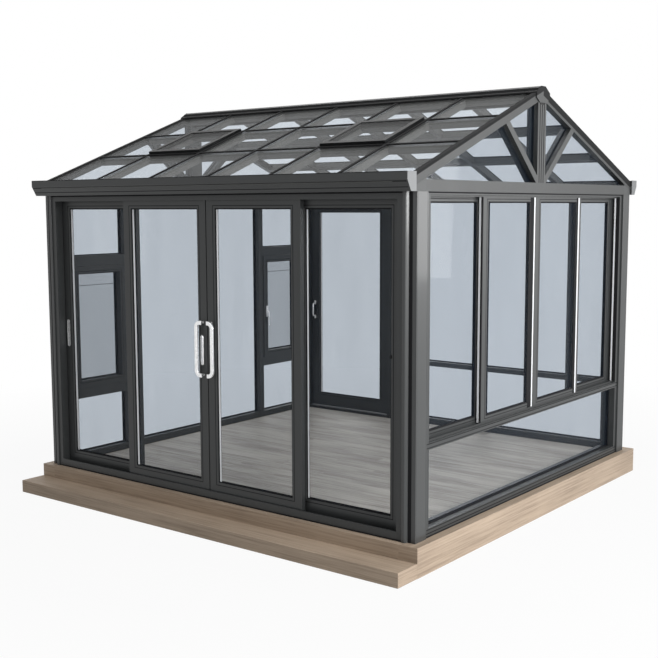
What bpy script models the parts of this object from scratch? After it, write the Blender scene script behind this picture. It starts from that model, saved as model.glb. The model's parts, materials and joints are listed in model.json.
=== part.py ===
"""Aluminium conservatory: gable roof on four posts, sliding doors in front, on a timber plinth.

Units are metres. X runs along the front, Y towards the back, Z up. The origin is the middle of
the footprint at ground level.
"""

from math import atan, cos, pi, sin, tan

import bmesh
import bpy
from mathutils import Matrix, Vector

# Driving sizes of the room
ROOM_WIDTH = 3.65
ROOM_DEPTH = 3.41
POST_HEIGHT = 2.25
ROOF_PITCH = atan(0.383)
FIT = 0.0003
SINK = 0.005

# Timber plinth
STEP_RISE = 0.10
STEP_TREAD = 0.22
PLINTH_SIDE_MARGIN = 0.06
PLINTH_FRONT_MARGIN = 0.04
PLINTH_BACK_MARGIN = 0.086
DECK_THICKNESS = 0.012

# Corner posts
POST_FACE = 0.095
POST_SIDE = 0.155
POST_NOTCH_WIDTH = 0.035
POST_NOTCH_DEPTH = 0.025
POST_NOSE_RADIUS = 0.012

# Wall frames
WALL_SETBACK = 0.012
WALL_DEPTH = 0.125
JAMB_WIDTH = 0.045
BASE_RAIL = 0.06
HEAD_RAIL = 0.05
MID_RAIL_BOTTOM = 0.585
MID_RAIL_HEIGHT = 0.045
MULLION_WIDTH = 0.06
SIDE_FRAME_DEPTH = 0.08
PANE_THICKNESS = 0.02
PANE_BITE = 0.014
GLAZING_LIP = 0.012
EDGE_CHAMFER = 0.0015
BEAD_WIDTH = 0.018
BEAD_JOINT = 0.002
BEAD_CHAMFER = 0.003
CUTTER_SPARE = 0.01

# Sliding front doors
TRACK_SHELL = 0.015
TRACK_LIP_THICKNESS = 0.012
TRACK_LIP_HEIGHT = 0.06
FASCIA_DROP = 0.045
TRACK_FIN_WIDTH = 0.006
TRACK_FIN_HEIGHT = 0.045
HEAD_FIN_DROP = 0.04
LEAF_THICKNESS = 0.04
LEAF_SPACING = 0.01
LEAF_SETBACK = 0.03
LEAF_STILE = 0.085
LEAF_TOP_RAIL = 0.077
LEAF_BOTTOM_RAIL = 0.10
LEAF_FLOOR_GAP = 0.03
LEAF_HEAD_GAP = 0.025
LEAF_EDGE_GAP = 0.005
MEETING_GAP = 0.008
GROOVE_WIDTH = 0.018
GROOVE_DEPTH = 0.025
ROLLER_WIDTH = 0.010
ROLLER_INSET = 0.14

# Pull handles of the meeting leaves
PULL_LENGTH = 0.42
PULL_CENTRE_HEIGHT = 1.12
PULL_BAND = 0.030
PULL_THICKNESS = 0.016
PULL_STANDOFF = 0.045
PULL_OFFSET = 0.052
PULL_FOOT_INSET = 0.038
PULL_FOOT_RADIUS = 0.009
FLUSH_PULL_LENGTH = 0.224
FLUSH_PULL_WIDTH = 0.034
FLUSH_PULL_PROUD = 0.002
FLUSH_PULL_RIM = 0.006
PULL_ROUND = 0.005

# Left wall casements
CASEMENT_BAY = 0.625
LOWER_TRANSOM_BOTTOM = 0.53
UPPER_TRANSOM_BOTTOM = 1.66
TRANSOM_HEIGHT = 0.088
SASH_THICKNESS = 0.09
CASEMENT_RING = 0.063

# Right wall sliding window
WINDOW_HEAD_RAIL = 0.03
SASH_STILE = 0.085
SASH_TOP_RAIL = 0.045
SASH_BOTTOM_RAIL = 0.05
SASH_DEPTH = 0.03
SASH_SETBACK = 0.03
SASH_SPACING = 0.008
SASH_LIP_HEIGHT = 0.012
SASH_LIP_THICKNESS = 0.005

# Back wall and its door
DOOR_OPENING = 1.015
DOOR_THRESHOLD = 0.025
DOOR_POST = 0.05
DOOR_STILE = 0.11
DOOR_BOTTOM_RAIL = 0.13
DOOR_TOP_RAIL = 0.09
DOOR_THICKNESS = 0.045
DOOR_GAP = 0.008
DOOR_HINGE_GAP = 0.006
BACK_MULLION_OFFSET = 0.42
BARREL_RADIUS = 0.008
BARREL_LENGTH = 0.09
BARREL_CLEARANCE = 0.001
HINGE_PLATE_WIDTH = 0.03
HINGE_PLATE_THICKNESS = 0.004
BARREL_END_INSET = 0.25
BARREL_SIDES = 16
LEVER_HEIGHT = 1.09
LEVER_LENGTH = 0.12
LEVER_STANDOFF = 0.045
LEVER_RADIUS = 0.009
LEVER_GRIP_RADIUS = 0.008
LEVER_PLATE_HEIGHT = 0.20
LEVER_PLATE_WIDTH = 0.036
LEVER_PLATE_THICKNESS = 0.006
LEVER_PLATE_ABOVE = 0.07
SPINDLE_RADIUS = 0.007
SPINDLE_SIDES = 12

# Roof
ROOF_RISE_AT_WALL = 0.112
RAFTER_DEPTH = 0.052
RAFTER_WIDTH = 0.05
CAP_HEIGHT = 0.010
CAP_WIDTH = 0.020
ROOF_PANE = 0.010
RAFTER_BAYS = 6
ROOF_ROWS = 3
EAVE_ROW_EXTRA = 0.05
EAVE_RAIL = 0.05
RIDGE_HALF_WIDTH = 0.03
RIDGE_BEAM_DEPTH = 0.12
RIDGE_FLASHING_HALF_WIDTH = 0.105
RIDGE_FLASHING_THICKNESS = 0.009
RIDGE_CAP_HALF_WIDTH = 0.066
RIDGE_CAP_TOP_HALF_WIDTH = 0.022
RIDGE_CAP_SIDE = 0.016
RIDGE_CAP_RISE = 0.015
RIDGE_PLATE_HALF_WIDTH = 0.105
RIDGE_PLATE_CROWN = 0.032
RIDGE_PLATE_FOOT = 0.055
RIDGE_PLATE_SIDE = 0.042
RIDGE_PLATE_DROP = 0.105
RIDGE_PLATE_THICKNESS = 0.008
VENT_BAYS = (1, 4)
VENT_ROW = 1
VENT_FRAME_WIDTH = 0.045
VENT_UPSTAND = 0.022
VENT_LIP = 0.006

# Gutters
GUTTER_OVERHANG = 0.101
GUTTER_HEIGHT = 0.123
GUTTER_UPRIGHT = 0.05
GUTTER_TAPER = 0.041
GUTTER_WALL = 0.004
GUTTER_RETURN = 0.010
GUTTER_BACK_HEIGHT = 0.05
GUTTER_END_OVERHANG = 0.01

# Gable ends
TIE_HEIGHT = 0.077
TIE_THICKNESS = 0.09
TIE_SETBACK = 0.003
KING_WIDTH = 0.13
KING_ROOT = 0.02
STRUT_WIDTH = 0.05
STRUT_REACH = 0.52
KING_GROOVE_WIDTH = 0.010
KING_GROOVE_DEPTH = 0.006
KING_GROOVES = 3
GABLE_PANE_MARGIN = 0.02

# Places worked out from the sizes
FLOOR_Z = 2 * STEP_RISE
POST_TOP = FLOOR_Z + POST_HEIGHT
LEFT_X = -ROOM_WIDTH / 2
RIGHT_X = ROOM_WIDTH / 2
TOTAL_DEPTH = STEP_TREAD + PLINTH_FRONT_MARGIN + ROOM_DEPTH + GUTTER_OVERHANG
FRONT_Y = -TOTAL_DEPTH / 2 + STEP_TREAD + PLINTH_FRONT_MARGIN
BACK_Y = FRONT_Y + ROOM_DEPTH
RIDGE_Y = (FRONT_Y + BACK_Y) / 2

ANTHRACITE = ("anthracite", (0.050, 0.053, 0.055), 0.45, 0.3)
DARK_ANTHRACITE = ("dark_anthracite", (0.022, 0.023, 0.025), 0.4, 0.3)
PALE_ALUMINIUM = ("pale_aluminium", (0.75, 0.76, 0.77), 0.3, 0.8)
CLEAR_GLASS = ("clear_glass", (0.60, 0.68, 0.74), 0.05, 0.0)
PLINTH_TIMBER = ("plinth_timber", (0.34, 0.28, 0.23), 0.7, 0.0)
DECK_TIMBER = ("deck_timber", (0.27, 0.24, 0.22), 0.6, 0.0)


def clear_scene():
    for old in list(bpy.data.objects):
        bpy.data.objects.remove(old)


clear_scene()
conservatory = bpy.data.collections.new("conservatory")
cutters = bpy.data.collections.new("cutters")
bpy.context.scene.collection.children.link(conservatory)
bpy.context.scene.collection.children.link(cutters)


def finish(kind):
    """The Principled material of this name, made once."""
    name, colour, roughness, metallic = kind
    material = bpy.data.materials.get(name)
    if material is None:
        material = bpy.data.materials.new(name)
        material.use_nodes = True
        shader = material.node_tree.nodes["Principled BSDF"]
        shader.inputs["Base Color"].default_value = (*colour, 1.0)
        shader.inputs["Roughness"].default_value = roughness
        shader.inputs["Metallic"].default_value = metallic
    return material


def mesh_object(name, mesh, kind, frame):
    """A part when it has a finish, otherwise a cutter, with its own axes set by the frame."""
    made = bpy.data.objects.new(name, mesh)
    made.matrix_world = frame
    if kind:
        mesh.materials.clear()
        mesh.materials.append(finish(kind))
        conservatory.objects.link(made)
    else:
        cutters.objects.link(made)
        made.hide_render = True
        made.display_type = "WIRE"
    return made


def hang(piece, holder):
    """Parent a piece to what carries it, without moving it."""
    piece.parent = holder
    piece.matrix_parent_inverse = holder.matrix_world.inverted()


def carrier(name, place, pieces):
    """An empty on a joint's line that carries the pieces which move together."""
    empty = bpy.data.objects.new(name, None)
    empty.matrix_world = Matrix.Translation(place)
    empty.empty_display_size = 0.1
    conservatory.objects.link(empty)
    for piece in pieces:
        hang(piece, empty)


def boxes(name, corners, kind=None):
    """One object holding a box for each (low, high) pair of corners, its origin in the middle."""
    lows = [Vector(low) for low, high in corners]
    highs = [Vector(high) for low, high in corners]
    least = Vector([min(low[axis] for low in lows) for axis in range(3)])
    most = Vector([max(high[axis] for high in highs) for axis in range(3)])
    centre = (least + most) / 2
    shape = bmesh.new()
    for low, high in zip(lows, highs):
        place = Matrix.Translation((low + high) / 2 - centre)
        bmesh.ops.create_cube(shape, size=1, matrix=place @ Matrix.Diagonal((*(high - low), 1)))
    mesh = bpy.data.meshes.new(name)
    shape.to_mesh(mesh)
    shape.free()
    return mesh_object(name, mesh, kind, Matrix.Translation(centre))


def box(name, low, high, kind=None):
    return boxes(name, [(low, high)], kind)


def cylinder(name, radius, start, end, kind=None, sides=20):
    """A cylinder between two points, with its own Z along it."""
    start, end = Vector(start), Vector(end)
    shape = bmesh.new()
    bmesh.ops.create_cone(
        shape, cap_ends=True, segments=sides, radius1=radius, radius2=radius,
        depth=(end - start).length,
    )
    mesh = bpy.data.meshes.new(name)
    shape.to_mesh(mesh)
    shape.free()
    turn = Vector((0, 0, 1)).rotation_difference(end - start).to_matrix().to_4x4()
    return mesh_object(name, mesh, kind, Matrix.Translation((start + end) / 2) @ turn)


AXES = {
    "X": Matrix(((0, 0, 1), (1, 0, 0), (0, 1, 0))).to_4x4(),
    "Y": Matrix(((1, 0, 0), (0, 0, -1), (0, 1, 0))).to_4x4(),
    "Z": Matrix.Identity(4),
}


def wall_plane(axis, at):
    """Columns: along the wall, up it and out of it, with the origin at this place on the axis."""
    shift = Vector([at if name == axis else 0 for name in "XYZ"])
    return Matrix.Translation(shift) @ AXES[axis]


def extruded(name, outlines, frame, start, end, kind=None, rounding=0):
    """Closed outlines filled and extruded. Any outline inside another one is a hole.

    frame is "X", "Y" or "Z", the axis of the extrusion, or a matrix whose third column is it.
    rounding is the radius left along the edges of both faces.
    """
    matrix = AXES[frame] if isinstance(frame, str) else frame
    if frame == "Y":
        start, end = -end, -start
    across = [u for outline in outlines for u, v in outline]
    upward = [v for outline in outlines for u, v in outline]
    centre_u = (min(across) + max(across)) / 2
    centre_v = (min(upward) + max(upward)) / 2
    curve = bpy.data.curves.new(name, "CURVE")
    curve.dimensions = "2D"
    curve.fill_mode = "BOTH"
    curve.extrude = (end - start) / 2 - rounding
    curve.bevel_depth = rounding
    curve.bevel_resolution = 1
    curve.offset = -rounding
    for outline in outlines:
        spline = curve.splines.new("POLY")
        spline.points.add(len(outline) - 1)
        for point, (u, v) in zip(spline.points, outline):
            point.co = (u - centre_u, v - centre_v, 0, 1)
        spline.use_cyclic_u = True
    drawn = bpy.data.objects.new(name + "_outline", curve)
    cutters.objects.link(drawn)
    bpy.context.view_layer.update()
    graph = bpy.context.evaluated_depsgraph_get()
    mesh = bpy.data.meshes.new_from_object(drawn.evaluated_get(graph))
    bpy.data.objects.remove(drawn)
    shape = bmesh.new()
    shape.from_mesh(mesh)
    bmesh.ops.remove_doubles(shape, verts=shape.verts, dist=0.00001)
    bmesh.ops.recalc_face_normals(shape, faces=shape.faces)
    shape.to_mesh(mesh)
    shape.free()
    mesh.name = name
    place = Matrix.Translation((centre_u, centre_v, (start + end) / 2))
    return mesh_object(name, mesh, kind, matrix @ place)


def boolean(target, other, operation, solver="EXACT"):
    hang(other, target)
    change = target.modifiers.new(other.name, "BOOLEAN")
    change.operation = operation
    change.object = other
    change.solver = solver


def cut(target, other, solver="EXACT"):
    boolean(target, other, "DIFFERENCE", solver)


def join(target, other):
    boolean(target, other, "UNION")


def rectangle(low, high):
    return [(low[0], low[1]), (high[0], low[1]), (high[0], high[1]), (low[0], high[1])]


def grown(low_high, by):
    """A rectangle (low, high) made larger by this much on every side."""
    low, high = low_high
    return (low[0] - by, low[1] - by), (high[0] + by, high[1] + by)


def arc(centre, radius, first, last, steps=4):
    """Points on an arc between two angles."""
    angles = [first + (last - first) * step / steps for step in range(steps + 1)]
    return [(centre[0] + radius * cos(a), centre[1] + radius * sin(a)) for a in angles]


def half_section(reach):
    """Half a glazing frame's section, from its outer edge to the groove that holds the pane.

    Each point is (edge that it follows, distance into the metal, depth from the pane's middle).
    """
    grip = PANE_THICKNESS / 2 + FIT
    return [
        ("outer", 0, reach - EDGE_CHAMFER),
        ("outer", EDGE_CHAMFER, reach),
        ("hole", BEAD_WIDTH + BEAD_JOINT, reach),
        ("hole", BEAD_WIDTH + BEAD_JOINT / 2, reach - BEAD_JOINT),
        ("hole", BEAD_WIDTH, reach),
        ("hole", BEAD_CHAMFER, reach),
        ("hole", 0, reach - BEAD_CHAMFER),
        ("hole", 0, grip),
        ("hole", PANE_BITE + FIT, grip),
    ]


def glazed_frame(name, outer, rails, frame, ahead, behind, kind=ANTHRACITE):
    """A mitred frame with glazing beads, one section run round its four sides, and its pane.

    The frame's matrix lies on the pane's middle; ahead and behind are the distances of the two
    faces from there; rails gives the left, right, bottom and top widths.
    """
    low, high = outer
    left, right, bottom, top = rails
    hole = ((low[0] + left, low[1] + bottom), (high[0] - right, high[1] - top))
    section = half_section(ahead)
    section += [(edge, inset, -depth) for edge, inset, depth in reversed(half_section(behind))]
    centre = ((low[0] + high[0]) / 2, (low[1] + high[1]) / 2)
    shape = bmesh.new()
    turns = []
    for edge, inset, depth in section:
        follows = grown(outer, -inset) if edge == "outer" else grown(hole, inset)
        corners = rectangle(*follows)
        turns.append(
            [shape.verts.new((u - centre[0], v - centre[1], depth)) for u, v in corners]
        )
    for turn, following in zip(turns, turns[1:] + turns[:1]):
        for corner in range(4):
            beside = (corner + 1) % 4
            shape.faces.new((turn[corner], turn[beside], following[beside], following[corner]))
    bmesh.ops.recalc_face_normals(shape, faces=shape.faces)
    mesh = bpy.data.meshes.new(name)
    shape.to_mesh(mesh)
    shape.free()
    made = mesh_object(name, mesh, kind, frame @ Matrix.Translation((*centre, 0)))
    half = PANE_THICKNESS / 2
    pane = extruded(
        name.replace("_frame", "").replace("_leaf", "") + "_glass",
        [rectangle(*grown(hole, PANE_BITE))],
        frame,
        -half,
        half,
        CLEAR_GLASS,
    )
    return made, pane


def build_plinth():
    left = LEFT_X - PLINTH_SIDE_MARGIN
    right = RIGHT_X + PLINTH_SIDE_MARGIN
    edge = FRONT_Y - PLINTH_FRONT_MARGIN
    back = BACK_Y + PLINTH_BACK_MARGIN
    box("plinth_platform", (left, edge, 0), (right, back, FLOOR_Z), PLINTH_TIMBER)
    box("front_step", (left, edge - STEP_TREAD, 0), (right, edge - FIT, STEP_RISE), PLINTH_TIMBER)
    inset = WALL_SETBACK + WALL_DEPTH + FIT
    box(
        "deck_floor",
        (LEFT_X + inset, FRONT_Y + inset, FLOOR_Z + FIT),
        (RIGHT_X - inset, BACK_Y - inset, FLOOR_Z + DECK_THICKNESS),
        DECK_TIMBER,
    )


def post_outline():
    """The front-left post from above: a rounded nosing in front and a notch at its corner."""
    nose = POST_NOSE_RADIUS
    inner = arc((POST_FACE - nose, nose), nose, 0, -pi / 2)
    outer = arc((POST_NOTCH_WIDTH + nose, nose), nose, -pi / 2, -pi)
    return [
        (0, POST_NOTCH_DEPTH),
        (0, POST_SIDE),
        (POST_FACE, POST_SIDE),
        *inner,
        *outer,
        (POST_NOTCH_WIDTH, POST_NOTCH_DEPTH),
    ]


def build_posts():
    for side_name, corner_x, flip_x in (("left", LEFT_X, 1), ("right", RIGHT_X, -1)):
        for end_name, corner_y, flip_y in (("front", FRONT_Y, 1), ("back", BACK_Y, -1)):
            outline = [(corner_x + flip_x * u, corner_y + flip_y * v) for u, v in post_outline()]
            name = f"corner_post_{end_name}_{side_name}"
            extruded(name, [outline], "Z", FLOOR_Z + FIT, POST_TOP, ANTHRACITE)


# Front wall: track frame and four sliding leaves
DOOR_LEFT = LEFT_X + POST_FACE + FIT + JAMB_WIDTH
DOOR_RIGHT = -DOOR_LEFT
LEAF_WIDTH = ((DOOR_RIGHT - DOOR_LEFT) / 2 - LEAF_EDGE_GAP - MEETING_GAP / 2 + LEAF_STILE) / 2
LEAF_LOW = FLOOR_Z + LEAF_FLOOR_GAP
LEAF_HIGH = POST_TOP - LEAF_HEAD_GAP
OUTER_TRACK_Y = FRONT_Y + LEAF_SETBACK + LEAF_THICKNESS / 2
INNER_TRACK_Y = OUTER_TRACK_Y + LEAF_THICKNESS + LEAF_SPACING


def build_front_frame():
    near = FRONT_Y + WALL_SETBACK
    far = near + WALL_DEPTH
    left = LEFT_X + POST_FACE + FIT
    right = -left
    low = FLOOR_Z + FIT
    outer = rectangle((left, low), (right, POST_TOP))
    opening = rectangle(
        (DOOR_LEFT, FLOOR_Z + TRACK_SHELL), (DOOR_RIGHT, POST_TOP - TRACK_SHELL)
    )
    frame = extruded("front_track_frame", [outer, opening], "Y", near, far, ANTHRACITE)
    strips = []
    for lip_near, lip_far in (
        (near, near + TRACK_LIP_THICKNESS),
        (far - TRACK_LIP_THICKNESS + SINK, far),
    ):
        strips.append(
            ((DOOR_LEFT - SINK, lip_near, low), (DOOR_RIGHT + SINK, lip_far, FLOOR_Z + TRACK_LIP_HEIGHT))
        )
        strips.append(
            ((DOOR_LEFT - SINK, lip_near, POST_TOP - FASCIA_DROP), (DOOR_RIGHT + SINK, lip_far, POST_TOP))
        )
    for track_y in (OUTER_TRACK_Y, INNER_TRACK_Y):
        fin_near = track_y - TRACK_FIN_WIDTH / 2
        fin_far = track_y + TRACK_FIN_WIDTH / 2
        strips.append(
            ((DOOR_LEFT - SINK, fin_near, low), (DOOR_RIGHT + SINK, fin_far, FLOOR_Z + TRACK_FIN_HEIGHT))
        )
        strips.append(
            ((DOOR_LEFT - SINK, fin_near, POST_TOP - HEAD_FIN_DROP), (DOOR_RIGHT + SINK, fin_far, POST_TOP))
        )
    for index, strip in enumerate(strips):
        join(frame, boxes(f"track_strip_{index + 1}", [strip]))


def leaf_left_edges():
    first = DOOR_LEFT + LEAF_EDGE_GAP
    second = first + LEAF_WIDTH - LEAF_STILE
    return (first, second, -second - LEAF_WIDTH, -first - LEAF_WIDTH)


def build_leaf(number, left, track_y):
    right = left + LEAF_WIDTH
    leaf, pane = glazed_frame(
        f"leaf_{number}_frame",
        ((left, LEAF_LOW), (right, LEAF_HIGH)),
        (LEAF_STILE, LEAF_STILE, LEAF_BOTTOM_RAIL, LEAF_TOP_RAIL),
        wall_plane("Y", track_y),
        LEAF_THICKNESS / 2,
        LEAF_THICKNESS / 2,
    )
    ceiling = LEAF_LOW + GROOVE_DEPTH
    near, far = track_y - GROOVE_WIDTH / 2, track_y + GROOVE_WIDTH / 2
    past_left, past_right = left - CUTTER_SPARE, right + CUTTER_SPARE
    grooves = boxes(
        f"leaf_{number}_grooves",
        [
            ((past_left, near, LEAF_LOW - CUTTER_SPARE), (past_right, far, ceiling)),
            (
                (past_left, near, LEAF_HIGH - GROOVE_DEPTH),
                (past_right, far, LEAF_HIGH + CUTTER_SPARE),
            ),
        ],
    )
    cut(leaf, grooves)
    radius = ceiling - FLOOR_Z - TRACK_FIN_HEIGHT - FIT
    for end_name, roller_x in (("left", left + ROLLER_INSET), ("right", right - ROLLER_INSET)):
        roller = cylinder(
            f"leaf_{number}_roller_{end_name}",
            radius,
            (roller_x, track_y - ROLLER_WIDTH / 2, ceiling),
            (roller_x, track_y + ROLLER_WIDTH / 2, ceiling),
        )
        join(leaf, roller)
    return leaf, pane


def pull_outline(foot_x, side):
    """A flat D pull seen from the front: it leaves its feet, bows out sideways and comes back."""
    half = PULL_LENGTH / 2
    bend = PULL_OFFSET
    centre_x = foot_x
    outer = arc((centre_x, half - bend), bend, pi / 2, 0, 6)
    outer += arc((centre_x, bend - half), bend, 0, -pi / 2, 6)
    inner_bend = bend - PULL_BAND
    inner = arc((centre_x, bend - half), inner_bend, -pi / 2, 0, 6)
    inner += arc((centre_x, half - bend), inner_bend, 0, pi / 2, 6)
    foot = PULL_BAND / 2
    top = [(centre_x - foot, half - PULL_BAND), (centre_x - foot, half)]
    bottom = [(centre_x - foot, -half), (centre_x - foot, PULL_BAND - half)]
    points = outer + bottom + inner + top
    middle = PULL_CENTRE_HEIGHT + FLOOR_Z
    return [(foot_x + side * (u - foot_x), v + middle) for u, v in points]


def build_pull(name, meeting_edge, side):
    foot_x = meeting_edge + side * PULL_FOOT_INSET
    face = OUTER_TRACK_Y - LEAF_THICKNESS / 2 - FIT
    front = face - PULL_STANDOFF
    pull = extruded(
        name,
        [pull_outline(foot_x, side)],
        "Y",
        front,
        front + PULL_THICKNESS,
        PALE_ALUMINIUM,
        PULL_ROUND,
    )
    half = PULL_LENGTH / 2 - PULL_BAND / 2
    for end_name, end_z in (("top", half), ("bottom", -half)):
        height = FLOOR_Z + PULL_CENTRE_HEIGHT + end_z
        foot = cylinder(
            f"{name}_foot_{end_name}",
            PULL_FOOT_RADIUS,
            (foot_x, face, height),
            (foot_x, front + PULL_THICKNESS / 2, height),
        )
        join(pull, foot)
    return pull


def build_flush_pull(leaf_left):
    """A pill-shaped plate on the first leaf's outer stile, with a shallow dish in it."""
    face = INNER_TRACK_Y - LEAF_THICKNESS / 2 - FIT
    radius = FLUSH_PULL_WIDTH / 2
    centre_x = leaf_left + LEAF_STILE / 2 - radius / 2
    reach = FLUSH_PULL_LENGTH / 2 - radius
    middle = FLOOR_Z + PULL_CENTRE_HEIGHT

    def pill(size):
        upper = arc((centre_x, middle + reach), size, 0, pi, 8)
        return upper + arc((centre_x, middle - reach), size, pi, 2 * pi, 8)

    plate = extruded(
        "leaf_1_flush_pull", [pill(radius)], "Y", face - FLUSH_PULL_PROUD, face, PALE_ALUMINIUM
    )
    dish = extruded(
        "flush_pull_dish",
        [pill(radius - FLUSH_PULL_RIM)],
        "Y",
        face - 2 * FLUSH_PULL_PROUD,
        face - FLUSH_PULL_PROUD / 2,
    )
    cut(plate, dish)
    return plate


def build_front():
    """The track frame and the leaves, each leaf hung on an empty in the middle of its track."""
    build_front_frame()
    lefts = leaf_left_edges()
    tracks = (INNER_TRACK_Y, OUTER_TRACK_Y, OUTER_TRACK_Y, INNER_TRACK_Y)
    handles = {
        1: build_flush_pull(lefts[0]),
        2: build_pull("leaf_2_pull_handle", lefts[1] + LEAF_WIDTH, -1),
        3: build_pull("leaf_3_pull_handle", lefts[2], 1),
    }
    for index, (left, track_y) in enumerate(zip(lefts, tracks)):
        number = index + 1
        pieces = [*build_leaf(number, left, track_y)]
        if number in handles:
            pieces.append(handles[number])
        middle = left + LEAF_WIDTH / 2
        carrier(f"leaf_{number}_track", (middle, track_y, FLOOR_Z + TRACK_FIN_HEIGHT), pieces)


# Side walls
WALL_NEAR_Y = FRONT_Y + POST_SIDE + FIT
WALL_FAR_Y = BACK_Y - POST_SIDE - FIT
WALL_LOW = FLOOR_Z + FIT


def slotted(name, pane_name, outer, openings, sheet, plane, start, end, middle):
    """A lattice in one plane with a single pane held in a slot between its two faces.

    sheet(by) is the pane's outline, made larger by this much all round.
    """
    holes = [rectangle(*opening) for opening in openings]
    frame = extruded(name, [rectangle(*outer), *holes], plane, start, end, ANTHRACITE)
    half = PANE_THICKNESS / 2
    slot = extruded(name + "_slot", [sheet(FIT)], plane, middle - half - FIT, middle + half + FIT)
    cut(frame, slot, "MANIFOLD")
    extruded(pane_name, [sheet(0)], plane, middle - half, middle + half, CLEAR_GLASS)
    return frame


def build_left_wall():
    start = LEFT_X + WALL_SETBACK
    end = start + SIDE_FRAME_DEPTH
    middle = start + GLAZING_LIP + PANE_THICKNESS / 2
    head = POST_TOP - HEAD_RAIL
    low_pane = (FLOOR_Z + BASE_RAIL, FLOOR_Z + LOWER_TRANSOM_BOTTOM)
    sash_span = (
        FLOOR_Z + LOWER_TRANSOM_BOTTOM + TRANSOM_HEIGHT,
        FLOOR_Z + UPPER_TRANSOM_BOTTOM,
    )
    high_pane = (FLOOR_Z + UPPER_TRANSOM_BOTTOM + TRANSOM_HEIGHT, head)
    near_bay = (WALL_NEAR_Y + JAMB_WIDTH, FRONT_Y + POST_SIDE + CASEMENT_BAY)
    far_bay = (BACK_Y - POST_SIDE - CASEMENT_BAY, WALL_FAR_Y - JAMB_WIDTH)
    wide_bay = (near_bay[1] + MULLION_WIDTH, far_bay[0] - MULLION_WIDTH)
    openings = [((wide_bay[0], low_pane[0]), (wide_bay[1], head))]
    sashes = []
    for bay in (near_bay, far_bay):
        openings.append(((bay[0], low_pane[0]), (bay[1], low_pane[1])))
        openings.append(((bay[0], high_pane[0]), (bay[1], high_pane[1])))
        sash = ((bay[0], sash_span[0]), (bay[1], sash_span[1]))
        openings.append(sash)
        sashes.append(sash)

    def sheet(by):
        """One pane for the fixed lights: full width at the foot and head, the wide bay between."""
        bite = PANE_BITE + by
        near, far = near_bay[0] - bite, far_bay[1] + bite
        left, right = wide_bay[0] - bite, wide_bay[1] + bite
        low, high = low_pane[0] - bite, head + bite
        waist_low, waist_high = low_pane[1] + bite, high_pane[0] - bite
        return [
            (near, low),
            (far, low),
            (far, waist_low),
            (right, waist_low),
            (right, waist_high),
            (far, waist_high),
            (far, high),
            (near, high),
            (near, waist_high),
            (left, waist_high),
            (left, waist_low),
            (near, waist_low),
        ]

    outer = ((WALL_NEAR_Y, WALL_LOW), (WALL_FAR_Y, POST_TOP))
    slotted("left_wall_frame", "left_wall_glass", outer, openings, sheet, "X", start, end, middle)
    for end_name, sash in zip(("front", "back"), sashes):
        glazed_frame(
            f"casement_{end_name}_frame",
            grown(sash, -FIT),
            (CASEMENT_RING,) * 4,
            wall_plane("X", middle),
            start + SASH_THICKNESS - middle,
            middle - start,
        )


def build_right_wall():
    end = RIGHT_X - WALL_SETBACK
    start = end - WALL_DEPTH
    head = POST_TOP - WINDOW_HEAD_RAIL + SASH_LIP_HEIGHT
    sill = FLOOR_Z + MID_RAIL_BOTTOM + MID_RAIL_HEIGHT
    window = ((WALL_NEAR_Y + JAMB_WIDTH, sill), (WALL_FAR_Y - JAMB_WIDTH, head))
    light = (
        (WALL_NEAR_Y + JAMB_WIDTH, FLOOR_Z + BASE_RAIL),
        (WALL_FAR_Y - JAMB_WIDTH, FLOOR_Z + MID_RAIL_BOTTOM),
    )

    def sheet(by):
        return rectangle(*grown(light, PANE_BITE + by))

    outer = ((WALL_NEAR_Y, WALL_LOW), (WALL_FAR_Y, POST_TOP))
    names = ("right_wall_frame", "right_lower_glass")
    frame = slotted(*names, outer, (window, light), sheet, "X", start, end, (start + end) / 2)
    outer_sash = end - SASH_SETBACK - SASH_DEPTH / 2
    inner_sash = outer_sash - SASH_DEPTH - SASH_SPACING
    lip_faces = (
        outer_sash + SASH_DEPTH / 2 + FIT,
        (outer_sash + inner_sash - SASH_LIP_THICKNESS) / 2,
        inner_sash - SASH_DEPTH / 2 - FIT - SASH_LIP_THICKNESS,
    )
    near, far = window[0][0] - SINK, window[1][0] + SINK
    for index, face in enumerate(lip_faces):
        lower = (
            (face, near, sill - SINK),
            (face + SASH_LIP_THICKNESS, far, sill + SASH_LIP_HEIGHT),
        )
        upper = (
            (face, near, head - SASH_LIP_HEIGHT),
            (face + SASH_LIP_THICKNESS, far, head + SINK),
        )
        join(frame, boxes(f"sill_lip_{index + 1}", [lower]))
        join(frame, boxes(f"head_lip_{index + 1}", [upper]))
    span = window[1][0] - window[0][0]
    width = (span + 2 * SASH_STILE) / 4
    rails = (SASH_STILE, SASH_STILE, SASH_BOTTOM_RAIL, SASH_TOP_RAIL)
    middles = (inner_sash, outer_sash, outer_sash, inner_sash)
    for index, middle in enumerate(middles):
        left = window[0][0] + index * (width - SASH_STILE) + (SASH_STILE if index > 1 else 0)
        sash = ((left + FIT, window[0][1] + FIT), (left + width - FIT, window[1][1] - FIT))
        glazed_frame(
            f"window_sash_{index + 1}_frame",
            sash,
            rails,
            wall_plane("X", middle),
            SASH_DEPTH / 2,
            SASH_DEPTH / 2,
        )


# Back wall
BACK_FACE = BACK_Y - WALL_SETBACK
BACK_DOOR_LEFT = LEFT_X + POST_FACE + FIT + JAMB_WIDTH
BACK_DOOR_RIGHT = BACK_DOOR_LEFT + DOOR_OPENING
HINGE_X = BACK_DOOR_RIGHT - DOOR_HINGE_GAP / 2
HINGE_Y = BACK_FACE + BARREL_RADIUS + BARREL_CLEARANCE
DOOR_LOW = FLOOR_Z + DOOR_THRESHOLD + DOOR_GAP
DOOR_HIGH = POST_TOP - HEAD_RAIL - DOOR_GAP


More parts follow.
